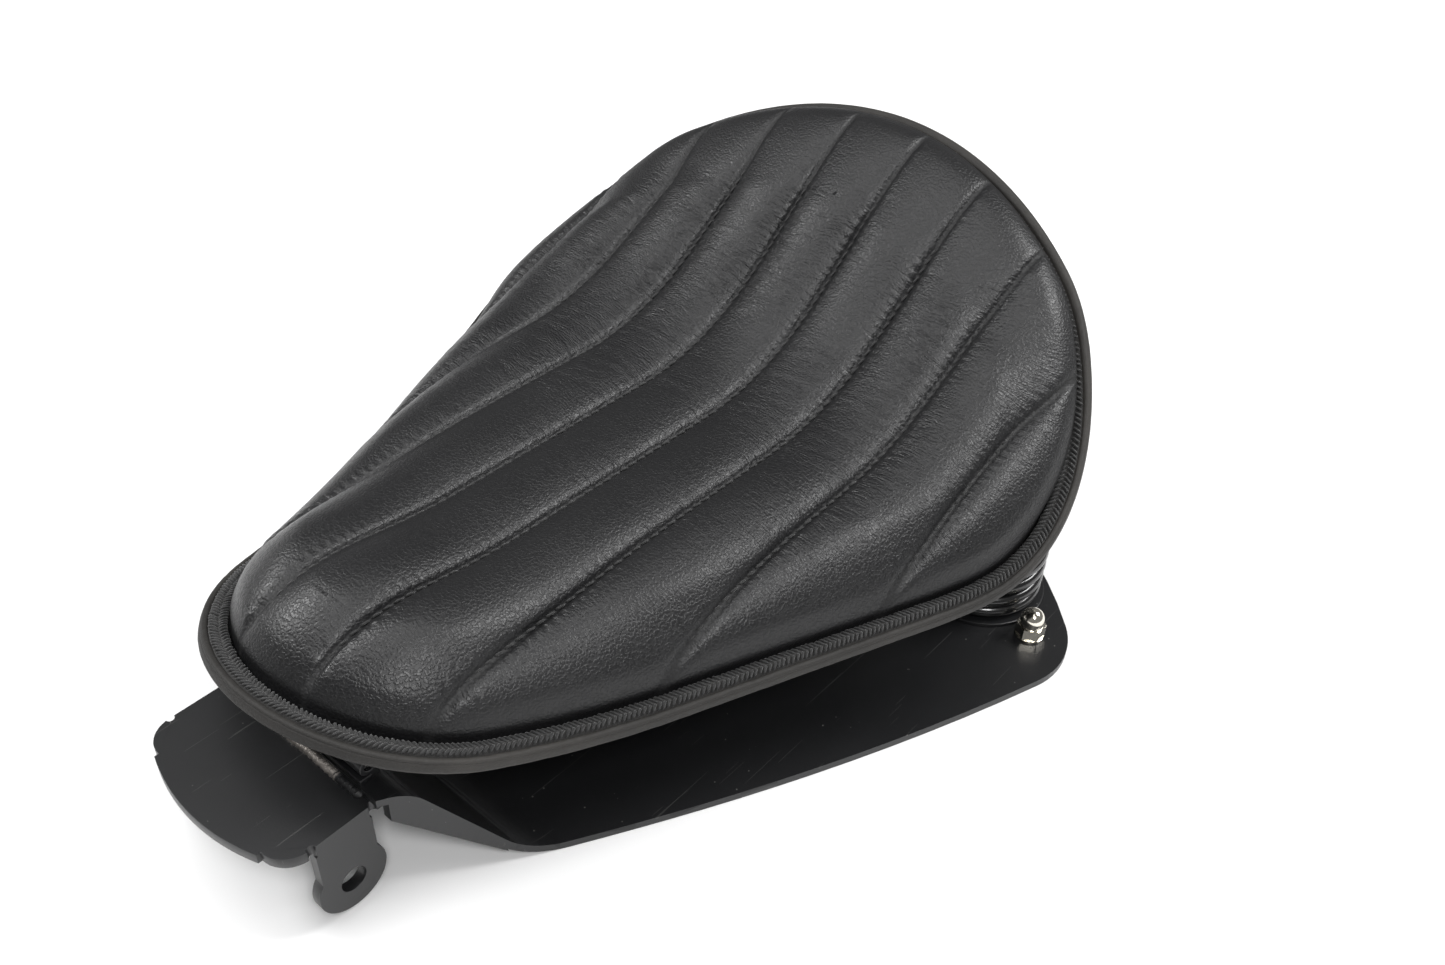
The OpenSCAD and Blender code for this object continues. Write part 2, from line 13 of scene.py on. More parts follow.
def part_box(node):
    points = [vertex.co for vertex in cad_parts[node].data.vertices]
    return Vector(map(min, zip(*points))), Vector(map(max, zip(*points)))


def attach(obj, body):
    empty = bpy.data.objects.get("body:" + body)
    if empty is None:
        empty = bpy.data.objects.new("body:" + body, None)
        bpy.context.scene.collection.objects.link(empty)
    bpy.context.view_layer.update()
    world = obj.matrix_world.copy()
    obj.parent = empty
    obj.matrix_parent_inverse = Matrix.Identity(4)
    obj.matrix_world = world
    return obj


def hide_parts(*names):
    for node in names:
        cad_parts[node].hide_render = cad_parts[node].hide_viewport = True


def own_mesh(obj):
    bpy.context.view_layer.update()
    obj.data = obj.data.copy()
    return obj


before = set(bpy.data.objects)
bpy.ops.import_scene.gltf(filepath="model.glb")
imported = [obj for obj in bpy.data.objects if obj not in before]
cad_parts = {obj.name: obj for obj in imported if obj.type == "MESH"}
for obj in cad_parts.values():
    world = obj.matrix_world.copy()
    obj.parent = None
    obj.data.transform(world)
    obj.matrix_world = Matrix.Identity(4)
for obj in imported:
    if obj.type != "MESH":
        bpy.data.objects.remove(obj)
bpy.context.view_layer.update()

bl_info = {
    "name": "Sprung solo seat",
    "version": (1, 0, 0),
    "blender": (4, 5, 0),
    "location": "3D View > Sidebar > Seat",
    "description": "Builds the cushion, edge stitching, springs and finishes of a sprung solo seat",
    "category": "Object",
}

FLOOR_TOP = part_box("base_plate")[0].z


# ---- sizes and colours -------------------------------------------------------------------------------------


def length(name, text, value, low=0.0, high=1.0):
    """A length property in metres."""
    return bpy.props.FloatProperty(name=name, description=text, default=value, min=low, max=high, unit="LENGTH",
                                   precision=4)


def tint(name, text, value):
    """A colour property."""
    return bpy.props.FloatVectorProperty(name=name, description=text, default=value, size=3, min=0, max=1,
                                         subtype="COLOR")


class SeatSizes(bpy.types.PropertyGroup):
    """Sizes of the seat's soft and turned pieces."""

    nose_x: length("Nose centre", "Distance back from the bolt axis to the centre of the nose arc", 0.064)
    nose_r: length("Nose radius", "Radius of the nose of the seat", 0.0685)
    corner_x: length("Corner centre back", "Distance back to the centres of the rear corner arcs", 0.228)
    corner_y: length("Corner centre out", "Distance of those centres from the middle plane", 0.0555)
    corner_r: length("Corner radius", "Radius of the rear corners", 0.080)
    rear_r: length("Rear radius", "Radius of the broad arc across the back", 0.215)
    pan_z: length("Pan height", "Height of the pan's flat middle above the bolt axis", 0.0355)
    nose_bend_x: length("Nose bend", "Distance back to where the nose starts to rise", 0.094)
    nose_bend_r: length("Nose bend radius", "Radius of the rise towards the nose", 0.218)
    kick_bend_x: length("Kick-up start", "Distance back to where the back starts to rise", 0.181)
    kick_bend_r: length("Kick-up radius", "Radius of the kick-up", 0.132)
    kick_angle: bpy.props.FloatProperty(name="Kick-up angle", description="Angle through which the kick-up turns",
                                        default=math.radians(53), subtype="ANGLE")
    cushion_h: length("Cushion thickness", "Thickness of the cushion at the bolt axis", 0.036)
    cushion_taper: bpy.props.FloatProperty(name="Cushion taper", description="Thickness lost for each metre back",
                                           default=0.015, min=0, max=0.2)
    shoulder_w: length("Shoulder width", "Width of the cushion's rounded shoulder", 0.054)
    foot_inset: length("Cushion inset", "Distance of the cushion's foot from the edge of the seat", 0.0085)
    seam_pitch: length("Seam pitch", "Spacing of the sewn seams across the seat", 0.03086)
    puff: length("Channel puff", "Rise of each channel above its seams", 0.0042)
    stitch_pitch: length("Stitch length", "Length of one stitch along a seam", 0.0042)
    stitch_r: length("Thread radius", "Radius of the seam thread", 0.00036)
    rim_w: length("Binding width", "Width of the leather binding round the pan", 0.0082)
    overlock_pitch: length("Overlock pitch", "Spacing of the overlock stitches round the edge", 0.0017)
    coil_r: length("Coil radius", "Mean radius of the springs", 0.021)
    wire_d: length("Wire diameter", "Diameter of the spring wire", 0.005)
    spring_x: length("Spring distance back", "Distance of the spring axes behind the bolt axis", 0.258)
    spring_y: length("Spring distance out", "Distance of the spring axes from the middle plane", 0.100)
    coil_turns: bpy.props.IntProperty(name="Working turns", description="Working turns of each spring", default=5,
                                      min=3, max=9)


class SeatColours(bpy.types.PropertyGroup):
    """Colours of the seat's finishes."""

    leather: tint("Leather", "Grain leather of the cushion", (0.0058, 0.0058, 0.0063))
    edge: tint("Edge leather", "Cut edge of the binding", (0.013, 0.0117, 0.0103))
    thread: tint("Thread", "Seam and edge thread", (0.0035, 0.0035, 0.0036))
    felt: tint("Felt", "Backing under the edge stitches", (0.012, 0.0115, 0.011))
    coat: tint("Powder coat", "Satin black powder coat on the steel", (0.0085, 0.0087, 0.0095))
    gloss: tint("Spring gloss", "Glossy black on the springs", (0.007, 0.007, 0.0072))
    nickel: tint("Nickel", "Bright plating on the dome nuts", (0.83, 0.79, 0.70))
    zinc: tint("Zinc", "Plating on the hidden fasteners", (0.55, 0.55, 0.53))
    weld: tint("Weld", "Bare ripples of the weld bead", (0.40, 0.37, 0.34))
    floor: tint("Floor", "Studio floor", (0.92, 0.92, 0.92))


# ---- surfaces ----------------------------------------------------------------------------------------------


def edge_path(s, steps):
    """Half of the seat's edge, nose to back, as points and outward normals.

    Nose arc about (-nose_x, 0), the common tangent, corner arc about (-corner_x, corner_y) and the broad back arc:
    point = centre + radius * (cos a, sin a), with the normal (cos a, sin a). Points are spread by length."""
    rear_x = s.corner_x - math.sqrt((s.rear_r - s.corner_r) ** 2 - s.corner_y**2)
    reach = math.hypot(s.corner_x - s.nose_x, s.corner_y)
    line = math.atan2(-s.corner_y, s.corner_x - s.nose_x) + math.acos((s.corner_r - s.nose_r) / reach)
    back = math.atan2(s.corner_y, rear_x - s.corner_x)
    run = math.sqrt(reach**2 - (s.corner_r - s.nose_r) ** 2)
    parts = [s.nose_r * line, run, s.corner_r * (back - line), s.rear_r * (math.pi - back)]
    along = np.linspace(0, sum(parts), steps)
    ends = np.cumsum(parts)
    piece = np.minimum(np.searchsorted(ends, along, side="right"), 3)
    f = np.clip((along - np.concatenate([[0], ends])[piece]) / np.array(parts)[piece], 0, 1)
    angle = np.choose(piece, [f * line, line + 0 * f, line + f * (back - line), back + f * (math.pi - back)])
    centre_x = -np.array([s.nose_x, s.nose_x, s.corner_x, rear_x])[piece]
    centre_y = np.array([0, 0, s.corner_y, 0])[piece]
    radius = np.array([s.nose_r, s.nose_r, s.corner_r, s.rear_r])[piece]
    normal = np.stack([np.cos(angle), np.sin(angle)], 1)
    point = np.stack([centre_x, centre_y], 1) + radius[:, None] * normal
    point += np.where(piece == 1, f * run, 0)[:, None] * np.array([-math.sin(line), math.cos(line)])
    return point, normal


def whole_edge(s, steps):
    """The closed edge: the half path and its mirror image in the middle plane."""
    point, normal = edge_path(s, steps)
    flip = np.array([1, -1])
    return (np.concatenate([point, (point * flip)[-2:0:-1]]), np.concatenate([normal, (normal * flip)[-2:0:-1]]))


def pan(s, x):
    """Height and slope of the pan's upper face at distance x: flat, an arc rising to the nose, and a kick-up arc."""
    x = np.asarray(x, float)
    run = np.maximum(0, -s.kick_bend_x - x)
    kick = np.minimum(s.kick_angle, np.arcsin(np.clip(run / s.kick_bend_r, 0, 1)))
    nose = np.arcsin(np.clip((x + s.nose_bend_x) / s.nose_bend_r, 0, 1))
    slope = nose - kick
    beyond = np.maximum(0, run - s.kick_bend_r * math.sin(s.kick_angle)) * math.tan(s.kick_angle)
    z = s.pan_z + s.nose_bend_r * (1 - np.cos(nose)) + s.kick_bend_r * (1 - np.cos(kick)) + beyond
    return z, slope


def lift(s, x, y, h):
    """Points at height h above the pan, measured square to it."""
    z, a = pan(s, x)
    return np.stack([x - np.sin(a) * h, y + 0 * x, z + np.cos(a) * h], -1)


def pan_run(s, x):
    """Length along the pan from the bolt axis back to x."""
    table = np.linspace(0.02, -0.34, 721)
    step = np.abs(np.diff(table)) / np.cos(pan(s, (table[1:] + table[:-1]) / 2)[1])
    return np.interp(-np.asarray(x), -table, np.concatenate([[0], np.cumsum(step)]))


def noise(u, v, seed):
    """Smooth value noise on a unit lattice: hashed lattice values blended by the quintic fade 6t^5-15t^4+10t^3."""
    i, j = np.floor(u).astype(np.int64), np.floor(v).astype(np.int64)
    a, b = u - i, v - j
    a, b = (t * t * t * (t * (t * 6 - 15) + 10) for t in (a, b))

    def value(p, q):
        h = (p * 374761393 + q * 668265263 + seed * 1442695041) & 0x7FFFFFFF
        h = ((h ^ (h >> 13)) * 1274126177) & 0x7FFFFFFF
        return ((h ^ (h >> 16)) & 0xFFFF) / 32767.5 - 1

    low = value(i, j) * (1 - a) + value(i + 1, j) * a
    high = value(i, j + 1) * (1 - a) + value(i + 1, j + 1) * a
    return low * (1 - b) + high * b


def smooth(low, high, x):
    """Smoothstep from 0 at low to 1 at high."""
    t = np.clip((x - low) / (high - low), 0, 1)
    return t * t * (3 - 2 * t)


def seam_gap(s, y):
    """Distance across the seat from y to the nearest seam: seams lie at odd half pitches, four on each side."""
    f = y / s.seam_pitch - 0.5
    gap = np.abs(f - np.round(f)) * s.seam_pitch
    outer = np.abs(y) - 3.5 * s.seam_pitch
    return np.where(outer > 0, outer, gap)


def inset_of(s, x, y):
    """Distance of plan points inward from the edge of the seat: the least distance to the arcs and the tangent."""
    point, _ = whole_edge(s, 361)
    flat = np.stack([np.ravel(x), np.ravel(y)], 1)
    a, b = point, np.roll(point, -1, 0)
    best = np.full(len(flat), 9.0)
    for k in range(0, len(flat), 4000):
        rel = flat[k : k + 4000, None] - a
        d = b - a
        t = np.clip((rel * d).sum(-1) / (d * d).sum(-1), 0, 1)
        best[k : k + 4000] = np.sqrt(((rel - t[..., None] * d) ** 2).sum(-1)).min(1)
    return best.reshape(np.shape(x))


def crown(s, x, d):
    """Height of the cushion d inside its foot: h = T(x) * (1 - (1 - d/w)^2.6)^(1/2.2), T falling to the back."""
    thick = s.cushion_h + s.cushion_taper * x - 0.6 * s.puff
    return thick * (1 - (1 - np.clip(d / s.shoulder_w, 0, 1)) ** 2.6) ** (1 / 2.2)


def add_mesh(name, points, faces, material, uv=None, masks=None):
    """Makes a mesh object from arrays; faces is a list of (n, 3 or 4) index arrays. Turns it outward by volume."""
    points = np.asarray(points, float).reshape(-1, 3)
    volume = 0.0
    for f in faces:
        a = points[f[:, 0]]
        for k in range(1, f.shape[1] - 1):
            volume += np.einsum("ij,ij->i", a, np.cross(points[f[:, k]], points[f[:, k + 1]])).sum()
    if volume < 0:
        faces = [f[:, ::-1] for f in faces]
    loops = np.concatenate([f.ravel() for f in faces])
    totals = np.concatenate([np.full(len(f), f.shape[1]) for f in faces])
    mesh = bpy.data.meshes.new(name)
    mesh.vertices.add(len(points))
    mesh.vertices.foreach_set("co", points.astype(np.float32).ravel())
    mesh.loops.add(len(loops))
    mesh.loops.foreach_set("vertex_index", loops.astype(np.int32))
    mesh.polygons.add(len(totals))
    mesh.polygons.foreach_set("loop_start", np.concatenate([[0], np.cumsum(totals)[:-1]]).astype(np.int32))
    mesh.polygons.foreach_set("use_smooth", np.ones(len(totals), bool))
    mesh.update(calc_edges=True)
    mesh.validate()
    if uv is not None:
        layer = mesh.uv_layers.new(name="run")
        layer.data.foreach_set("uv", np.asarray(uv)[loops].astype(np.float32).ravel())
    for key, values in (masks or {}).items():
        mesh.attributes.new(key, "FLOAT", "POINT").data.foreach_set("value", values.astype(np.float32))
    mesh.materials.append(material)
    obj = bpy.data.objects.new(name, mesh)
    bpy.context.scene.collection.objects.link(obj)
    return obj


def grid_faces(rows, cols, wrap_rows=False, wrap_cols=False):
    """Quads of a grid of rows x cols points, joined round where it wraps."""
    i = np.arange(rows if wrap_rows else rows - 1)[:, None]
    j = np.arange(cols if wrap_cols else cols - 1)[None, :]
    a = i * cols + j
    b = i * cols + (j + 1) % cols
    c = ((i + 1) % rows) * cols + (j + 1) % cols
    d = ((i + 1) % rows) * cols + j
    return np.stack([a, b, c, d], -1).reshape(-1, 4)


def tubes(lines, radii, up, sides):
    """Round tubes carried along lines: point = centre + r * (cos b * across + sin b * above), b once round.

    lines and up are (n, k, 3), radii (n, k); across is the tangent x up. Both ends get a flat face."""
    n, k, _ = lines.shape
    tangent = np.gradient(lines, axis=1)
    tangent /= np.linalg.norm(tangent, axis=-1, keepdims=True)
    across = np.cross(tangent, up)
    across /= np.linalg.norm(across, axis=-1, keepdims=True)
    above = np.cross(across, tangent)
    b = np.linspace(0, 2 * math.pi, sides, endpoint=False)
    ring = np.cos(b)[:, None] * across[:, :, None] + np.sin(b)[:, None] * above[:, :, None]
    points = lines[:, :, None] + radii[:, :, None, None] * ring
    one = grid_faces(k, sides, wrap_cols=True)
    quads = (np.arange(n)[:, None, None] * k * sides + one).reshape(-1, 4)
    first = np.arange(n)[:, None] * k * sides + np.arange(sides)
    return points.reshape(-1, 3), [quads, first[:, ::-1], first + (k - 1) * sides]


def outward(points, faces, away=None):
    """The faces, turned so that their mean normal points up, or away from the seat's middle in plan."""
    normal = surface_normals(points, [faces])
    lean = normal[:, 2].sum() if away is None else (normal[: len(away), :2] * away).sum()
    return faces if lean > 0 else faces[:, ::-1]


def surface_normals(points, faces):
    """Vertex normals: the sum, over the faces round each vertex, of the cross product of their diagonals.

    A triangle counts as a quad whose last corner is its first again."""
    normal = np.zeros_like(points)
    for f in faces:
        q = np.concatenate([f, f[:, :1]], 1)
        n = np.cross(points[q[:, 2]] - points[q[:, 0]], points[q[:, 3]] - points[q[:, 1]])
        for k in range(f.shape[1]):
            np.add.at(normal, f[:, k], n)
    return normal / np.maximum(np.linalg.norm(normal, axis=1, keepdims=True), 1e-12)


# ---- shader groups and materials ---------------------------------------------------------------------------


class Nodes:
    """Short calls for building a node tree."""

    def __init__(self, tree):
        self.tree = tree

    def add(self, kind, **inputs):
        """Adds a node; keys that start with an underscore are the node's own settings."""
        node = self.tree.nodes.new(kind)
        for key, value in inputs.items():
            if key.startswith("_"):
                setattr(node, key[1:], value)
        for key, value in inputs.items():
            if key.startswith("_"):
                continue
            socket = node.inputs[int(key[1:])] if key[0] == "i" and key[1:].isdigit() else node.inputs[
                key.replace("_", " ")]
            if isinstance(value, bpy.types.NodeSocket):
                self.tree.links.new(value, socket)
            else:
                socket.default_value = value
        return node

    def math(self, operation, a, b=0.0, clamp=False):
        """A Math node's result."""
        return self.add("ShaderNodeMath", _operation=operation, _use_clamp=clamp, i0=a, i1=b).outputs[0]

    def ramp(self, value, low, high):
        """A smooth step from 0 at low to 1 at high."""
        return self.add("ShaderNodeMapRange", _interpolation_type="SMOOTHSTEP", _clamp=True, Value=value,
                        From_Min=low, From_Max=high).outputs[0]


def new_group(name, inputs, outputs):
    """A shader node group with named float or vector inputs and outputs."""
    tree = bpy.data.node_groups.new(name, "ShaderNodeTree")
    for label, value in inputs:
        kind = "NodeSocketVector" if value is None else "NodeSocketFloat"
        socket = tree.interface.new_socket(name=label, in_out="INPUT", socket_type=kind)
        if value is not None:
            socket.default_value = value
    for label in outputs:
        tree.interface.new_socket(name=label, in_out="OUTPUT", socket_type="NodeSocketFloat")
    n = Nodes(tree)
    return n, n.add("NodeGroupInput").outputs, n.add("NodeGroupOutput").inputs


def pebble_group():
    """Leather grain: rounded cells with dark valleys, broken up by fine noise."""
    n, i, o = new_group("pebble_grain", [("Vector", None), ("Cells", 1000.0)], ["Height", "Valley"])
    warp = n.add("ShaderNodeTexNoise", Vector=i["Vector"], Scale=420.0, Detail=2.0)
    bent = n.add("ShaderNodeMix", _data_type="VECTOR")
    bent.inputs[0].default_value = 0.0012
    n.tree.links.new(i["Vector"], bent.inputs[4])
    n.tree.links.new(warp.outputs["Color"], bent.inputs[5])
    cell = n.add("ShaderNodeTexVoronoi", _feature="SMOOTH_F1", Vector=bent.outputs[1], Scale=i["Cells"],
                 Smoothness=0.35, Randomness=1.0)
    valley = n.ramp(cell.outputs["Distance"], 0.35, 0.75)
    fine = n.add("ShaderNodeTexNoise", Vector=i["Vector"], Scale=2600.0, Detail=3.0, Roughness=0.6)
    height = n.math("SUBTRACT", n.math("MULTIPLY", fine.outputs[0], 0.35), n.math("MULTIPLY", valley, 0.8))
    n.tree.links.new(height, o["Height"])
    n.tree.links.new(valley, o["Valley"])
    return n.tree


def dust_group():
    """Sparse pale specks and a broad cloudiness, for dust and handling marks."""
    n, i, o = new_group("dust_and_cloud", [("Vector", None), ("Specks", 420.0)], ["Speck", "Cloud"])
    cell = n.add("ShaderNodeTexVoronoi", _feature="F1", Vector=i["Vector"], Scale=i["Specks"], Randomness=1.0)
    gate = n.add("ShaderNodeTexNoise", Vector=i["Vector"], Scale=190.0, Detail=0.0)
    dot = n.math("LESS_THAN", cell.outputs["Distance"], 0.10)
    n.tree.links.new(n.math("MULTIPLY", dot, n.math("GREATER_THAN", gate.outputs[0], 0.66)), o["Speck"])
    cloud = n.add("ShaderNodeTexNoise", Vector=i["Vector"], Scale=22.0, Detail=4.0, Roughness=0.55)
    n.tree.links.new(cloud.outputs[0], o["Cloud"])
    return n.tree


def fibre_group():
    """Fine twisted fibres: noise stretched along the first axis of its vector."""
    n, i, o = new_group("fibres", [("Vector", None), ("Stretch", 6.0), ("Scale", 900.0)], ["Height"])
    parts = n.add("ShaderNodeSeparateXYZ", Vector=i["Vector"])
    squeeze = n.add("ShaderNodeCombineXYZ", X=n.math("DIVIDE", parts.outputs[0], i["Stretch"]), Y=parts.outputs[1],
                    Z=parts.outputs[2])
    strands = n.add("ShaderNodeTexNoise", Vector=squeeze.outputs[0], Scale=i["Scale"], Detail=4.0, Roughness=0.7)
    n.tree.links.new(strands.outputs[0], o["Height"])
    return n.tree


GROUPS = {}


def use_group(n, name, vector, **values):
    """Places a shared group, built once, with its own values."""
    makers = {"pebble_grain": pebble_group, "dust_and_cloud": dust_group, "fibres": fibre_group}
    if name not in GROUPS:
        GROUPS[name] = makers[name]()
    node = n.tree.nodes.new("ShaderNodeGroup")
    node.node_tree = GROUPS[name]
    n.tree.links.new(vector, node.inputs["Vector"])
    for key, value in values.items():
        node.inputs[key].default_value = value
    return node.outputs


def new_material(name, colour, roughness, **shader):
    """A Principled material with plain values set on the shader's own sockets."""
    material = bpy.data.materials.new(name)
    material.use_nodes = True
    material.diffuse_color = (*colour, 1)
    tree = material.node_tree
    bsdf = next(x for x in tree.nodes if x.type == "BSDF_PRINCIPLED")
    bsdf.inputs["Base Color"].default_value = (*colour, 1)
    bsdf.inputs["Roughness"].default_value = roughness
    for key, value in shader.items():
        bsdf.inputs[key.replace("_", " ")].default_value = value
    return material, Nodes(tree), bsdf


def bump(n, bsdf, height, distance, strength=1.0):
    """Feeds a height, in units of distance metres, to the shader's normal."""
    node = n.add("ShaderNodeBump", Strength=strength, Distance=distance, Height=height)
    n.tree.links.new(node.outputs[0], bsdf.inputs["Normal"])


def vary(n, bsdf, colour, factor, spread, other=None):
    """Mixes the base colour towards another one, or a lighter one, by a factor that changes over the surface."""
    far = other or tuple(min(1.0, c * spread) for c in colour)
    mix = n.add("ShaderNodeMix", _data_type="RGBA")
    n.tree.links.new(factor, mix.inputs[0])
    mix.inputs[6].default_value = (*colour, 1)
    mix.inputs[7].default_value = (*far, 1)
    n.tree.links.new(mix.outputs[2], bsdf.inputs["Base Color"])
    return mix


def object_vector(n):
    """Object coordinates in metres."""
    return n.add("ShaderNodeTexCoord").outputs["Object"]


def leather_material(s, c):
    """Cushion leather: pebble grain, compression wrinkles across the channels with a painted highlight on their
    ridges, and a pinch at each seam whose groove is kept dark as painted shade.
    """
    material, n, bsdf = new_material("channel_leather", c.leather, 0.42, Specular_IOR_Level=0.5, Coat_Weight=0.0)
    where = object_vector(n)
    run = n.add("ShaderNodeUVMap", _uv_map="run").outputs[0]
    parts = n.add("ShaderNodeSeparateXYZ", Vector=run)
    phase = n.math("SUBTRACT", n.math("DIVIDE", parts.outputs[1], s.seam_pitch), 0.5)
    gap = n.math("MULTIPLY", n.math("PINGPONG", phase, 0.5), s.seam_pitch)
    strain = n.add("ShaderNodeAttribute", _attribute_name="strain").outputs["Fac"]
    grain = use_group(n, "pebble_grain", where, Cells=1050.0)
    cloud = use_group(n, "dust_and_cloud", where, Specks=300.0)
    # Compression wrinkles: long ridges across the channel, bent by a slower noise
    sway = n.add("ShaderNodeTexNoise", Vector=run, Scale=110.0, Detail=2.0)
    u = n.math("ADD", parts.outputs[0], n.math("MULTIPLY", n.math("SUBTRACT", sway.outputs[0], 0.5), 0.004))
    lane = n.add("ShaderNodeCombineXYZ", X=n.math("MULTIPLY", u, 5.2), Y=parts.outputs[1], Z=0.0)
    folds = n.add("ShaderNodeTexNoise", Vector=lane.outputs[0], Scale=125.0, Detail=2.5, Roughness=0.55)
    off_line = n.math("MULTIPLY", n.math("SUBTRACT", folds.outputs[0], 0.5), 4.2)
    ridge = n.math("SUBTRACT", 1.0, n.math("ABSOLUTE", off_line))
    wrinkle = n.math("MULTIPLY", ridge, strain)
    pinch = n.ramp(gap, 0.0016, 0.0002)
    grain_part = n.math("MULTIPLY", grain["Height"], 0.50)
    wrinkle_part = n.math("MULTIPLY", wrinkle, 1.35)
    pinch_part = n.math("MULTIPLY", pinch, 1.6)
    height = n.math("ADD", grain_part, n.math("SUBTRACT", wrinkle_part, pinch_part))
    bump(n, bsdf, height, 0.00022, 0.9)
    rough = n.math("ADD", 0.31, n.math("ADD", n.math("MULTIPLY", grain["Valley"], 0.10),
                                       n.math("MULTIPLY", cloud["Cloud"], 0.13)))
    n.tree.links.new(n.math("ADD", rough, n.math("MULTIPLY", pinch, 0.2)), bsdf.inputs["Roughness"])
    # Colour: the wrinkle ridges are painted lighter as a painted highlight, with random mottling from the cloud noise
    # on top; the lightening is taken out in the seam pinch, which leaves a painted shade in the groove.
    ridge_highlight_and_mottle = n.math("MULTIPLY", n.math("ADD", n.math("MULTIPLY", wrinkle, 0.5), cloud["Cloud"]), 0.6, clamp=True)
    vary(n, bsdf, tuple(c.leather), n.math("MULTIPLY", ridge_highlight_and_mottle, n.math("SUBTRACT", 1.0, pinch)), 1.9)
    return material


def edge_material(c):
    """Cut and burnished edge leather: grey-brown fibres with worn lighter patches."""
    material, n, bsdf = new_material("edge_leather", c.edge, 0.62)
    where = object_vector(n)
    fibre = use_group(n, "fibres", where, Stretch=3.0, Scale=1300.0)
    cloud = use_group(n, "dust_and_cloud", where, Specks=650.0)
    bump(n, bsdf, fibre["Height"], 0.0003, 0.8)
    worn = n.math("ADD", n.ramp(cloud["Cloud"], 0.35, 0.75), n.math("MULTIPLY", cloud["Speck"], 0.8), clamp=True)
    vary(n, bsdf, tuple(c.edge), worn, 2.6)
    n.tree.links.new(n.math("ADD", 0.5, n.math("MULTIPLY", fibre["Height"], 0.3)), bsdf.inputs["Roughness"])
    return material


def thread_material(name, colour, roughness):
    """Bonded thread or felt: twisted fibres with a soft sheen, and a painted highlight on the raised fibres."""
    material, n, bsdf = new_material(name, colour, roughness, Sheen_Weight=0.25, Sheen_Roughness=0.5)
    where = object_vector(n)
    fibre = use_group(n, "fibres", where, Stretch=2.0, Scale=2400.0)
    bump(n, bsdf, fibre["Height"], 0.00025, 0.9)
    # Raised fibres are painted lighter: a painted highlight on their crests.
    vary(n, bsdf, tuple(colour), n.ramp(fibre["Height"], 0.45, 0.75), 2.4)
    return material


def coat_material(name, colour, roughness, dusty, **shader):
    """Powder coat: fine orange peel, faint cloudiness, sparse dust and hairline scratches."""
    material, n, bsdf = new_material(name, colour, roughness, **shader)
    where = object_vector(n)
    cloud = use_group(n, "dust_and_cloud", where, Specks=330.0)
    peel = n.add("ShaderNodeTexNoise", Vector=where, Scale=1500.0, Detail=3.0, Roughness=0.55)
    turned = n.add("ShaderNodeMapping", Vector=where, Rotation=(0.0, 0.0, 0.6), Scale=(9.0, 420.0, 60.0))
    hair = n.add("ShaderNodeTexNoise", Vector=turned.outputs[0], Scale=3.0, Detail=1.0)
    line = n.math("MULTIPLY", n.math("GREATER_THAN", hair.outputs[0], 0.74), dusty)
    height = n.math("SUBTRACT", n.math("MULTIPLY", peel.outputs[0], 0.5), n.math("MULTIPLY", line, 0.3))
    bump(n, bsdf, height, 0.00006, 0.6)
    rough = n.math("ADD", roughness - 0.06, n.math("MULTIPLY", cloud["Cloud"], 0.14))
    n.tree.links.new(rough, bsdf.inputs["Roughness"])
    marks = n.math("ADD", n.math("MULTIPLY", cloud["Speck"], dusty), n.math("MULTIPLY", line, 0.25), clamp=True)
    vary(n, bsdf, tuple(colour), marks, 1.0, (0.10, 0.10, 0.095))
    return material


def metal_material(name, colour, roughness, streaks):
    """Plated metal: fine turning marks round each fastener, and slight tarnish."""
    material, n, bsdf = new_material(name, colour, roughness, Metallic=1.0)
    where = object_vector(n)
    fibre = use_group(n, "fibres", where, Stretch=5.0, Scale=1500.0)
    cloud = use_group(n, "dust_and_cloud", where, Specks=900.0)
    bump(n, bsdf, fibre["Height"], 0.00004, streaks)
    rough = n.math("ADD", roughness, n.math("MULTIPLY", cloud["Cloud"], 0.12))
    n.tree.links.new(rough, bsdf.inputs["Roughness"])
    vary(n, bsdf, tuple(colour), n.ramp(cloud["Cloud"], 0.45, 0.8), 0.72)
    return material


def weld_material(c):
    """Weld bead: coated in places, bare and bright on the crests of its ripples."""
    material, n, bsdf = new_material("weld_bead", c.weld, 0.4)
    where = object_vector(n)
    bare = n.add("ShaderNodeAttribute", _attribute_name="bare").outputs["Fac"]
    grit = n.add("ShaderNodeTexNoise", Vector=where, Scale=900.0, Detail=5.0, Roughness=0.7)
    mask = n.ramp(n.math("MULTIPLY", bare, n.math("ADD", grit.outputs[0], 0.45)), 0.38, 0.62)
    mix = vary(n, bsdf, tuple(c.coat), mask, 1.0, tuple(c.weld))
    mix.label = "bare crests"
    n.tree.links.new(n.math("MULTIPLY", mask, 0.9), bsdf.inputs["Metallic"])
    n.tree.links.new(n.math("ADD", 0.30, n.math("MULTIPLY", grit.outputs[0], 0.25)), bsdf.inputs["Roughness"])
    bump(n, bsdf, grit.outputs[0], 0.0003, 0.8)
    return material


MATERIALS = {}


def finish(name):
    """The material of that name, built when first asked for."""
    s, c = bpy.context.scene.seat_sizes, bpy.context.scene.seat_colours
    makers = {
        "leather": lambda: leather_material(s, c),
        "edge": lambda: edge_material(c),
        "thread": lambda: thread_material("seam_thread", c.thread, 0.55),
        "felt": lambda: thread_material("edge_felt", c.felt, 0.9),
        "coat": lambda: coat_material("powder_coat", c.coat, 0.36, 1.0),
        "inner_coat": lambda: coat_material("inner_coat", c.coat, 0.5, 0.4),
        "gloss": lambda: coat_material("spring_gloss", c.gloss, 0.22, 0.3, Coat_Weight=0.4, Coat_Roughness=0.08),
        "nickel": lambda: metal_material("bright_nickel", c.nickel, 0.08, 0.15),
        "zinc": lambda: metal_material("zinc_plate", c.zinc, 0.28, 0.4),
        "weld": lambda: weld_material(c),
    }
    if name not in MATERIALS:
        MATERIALS[name] = makers[name]()
    return MATERIALS[name]


# ---- operators ---------------------------------------------------------------------------------------------


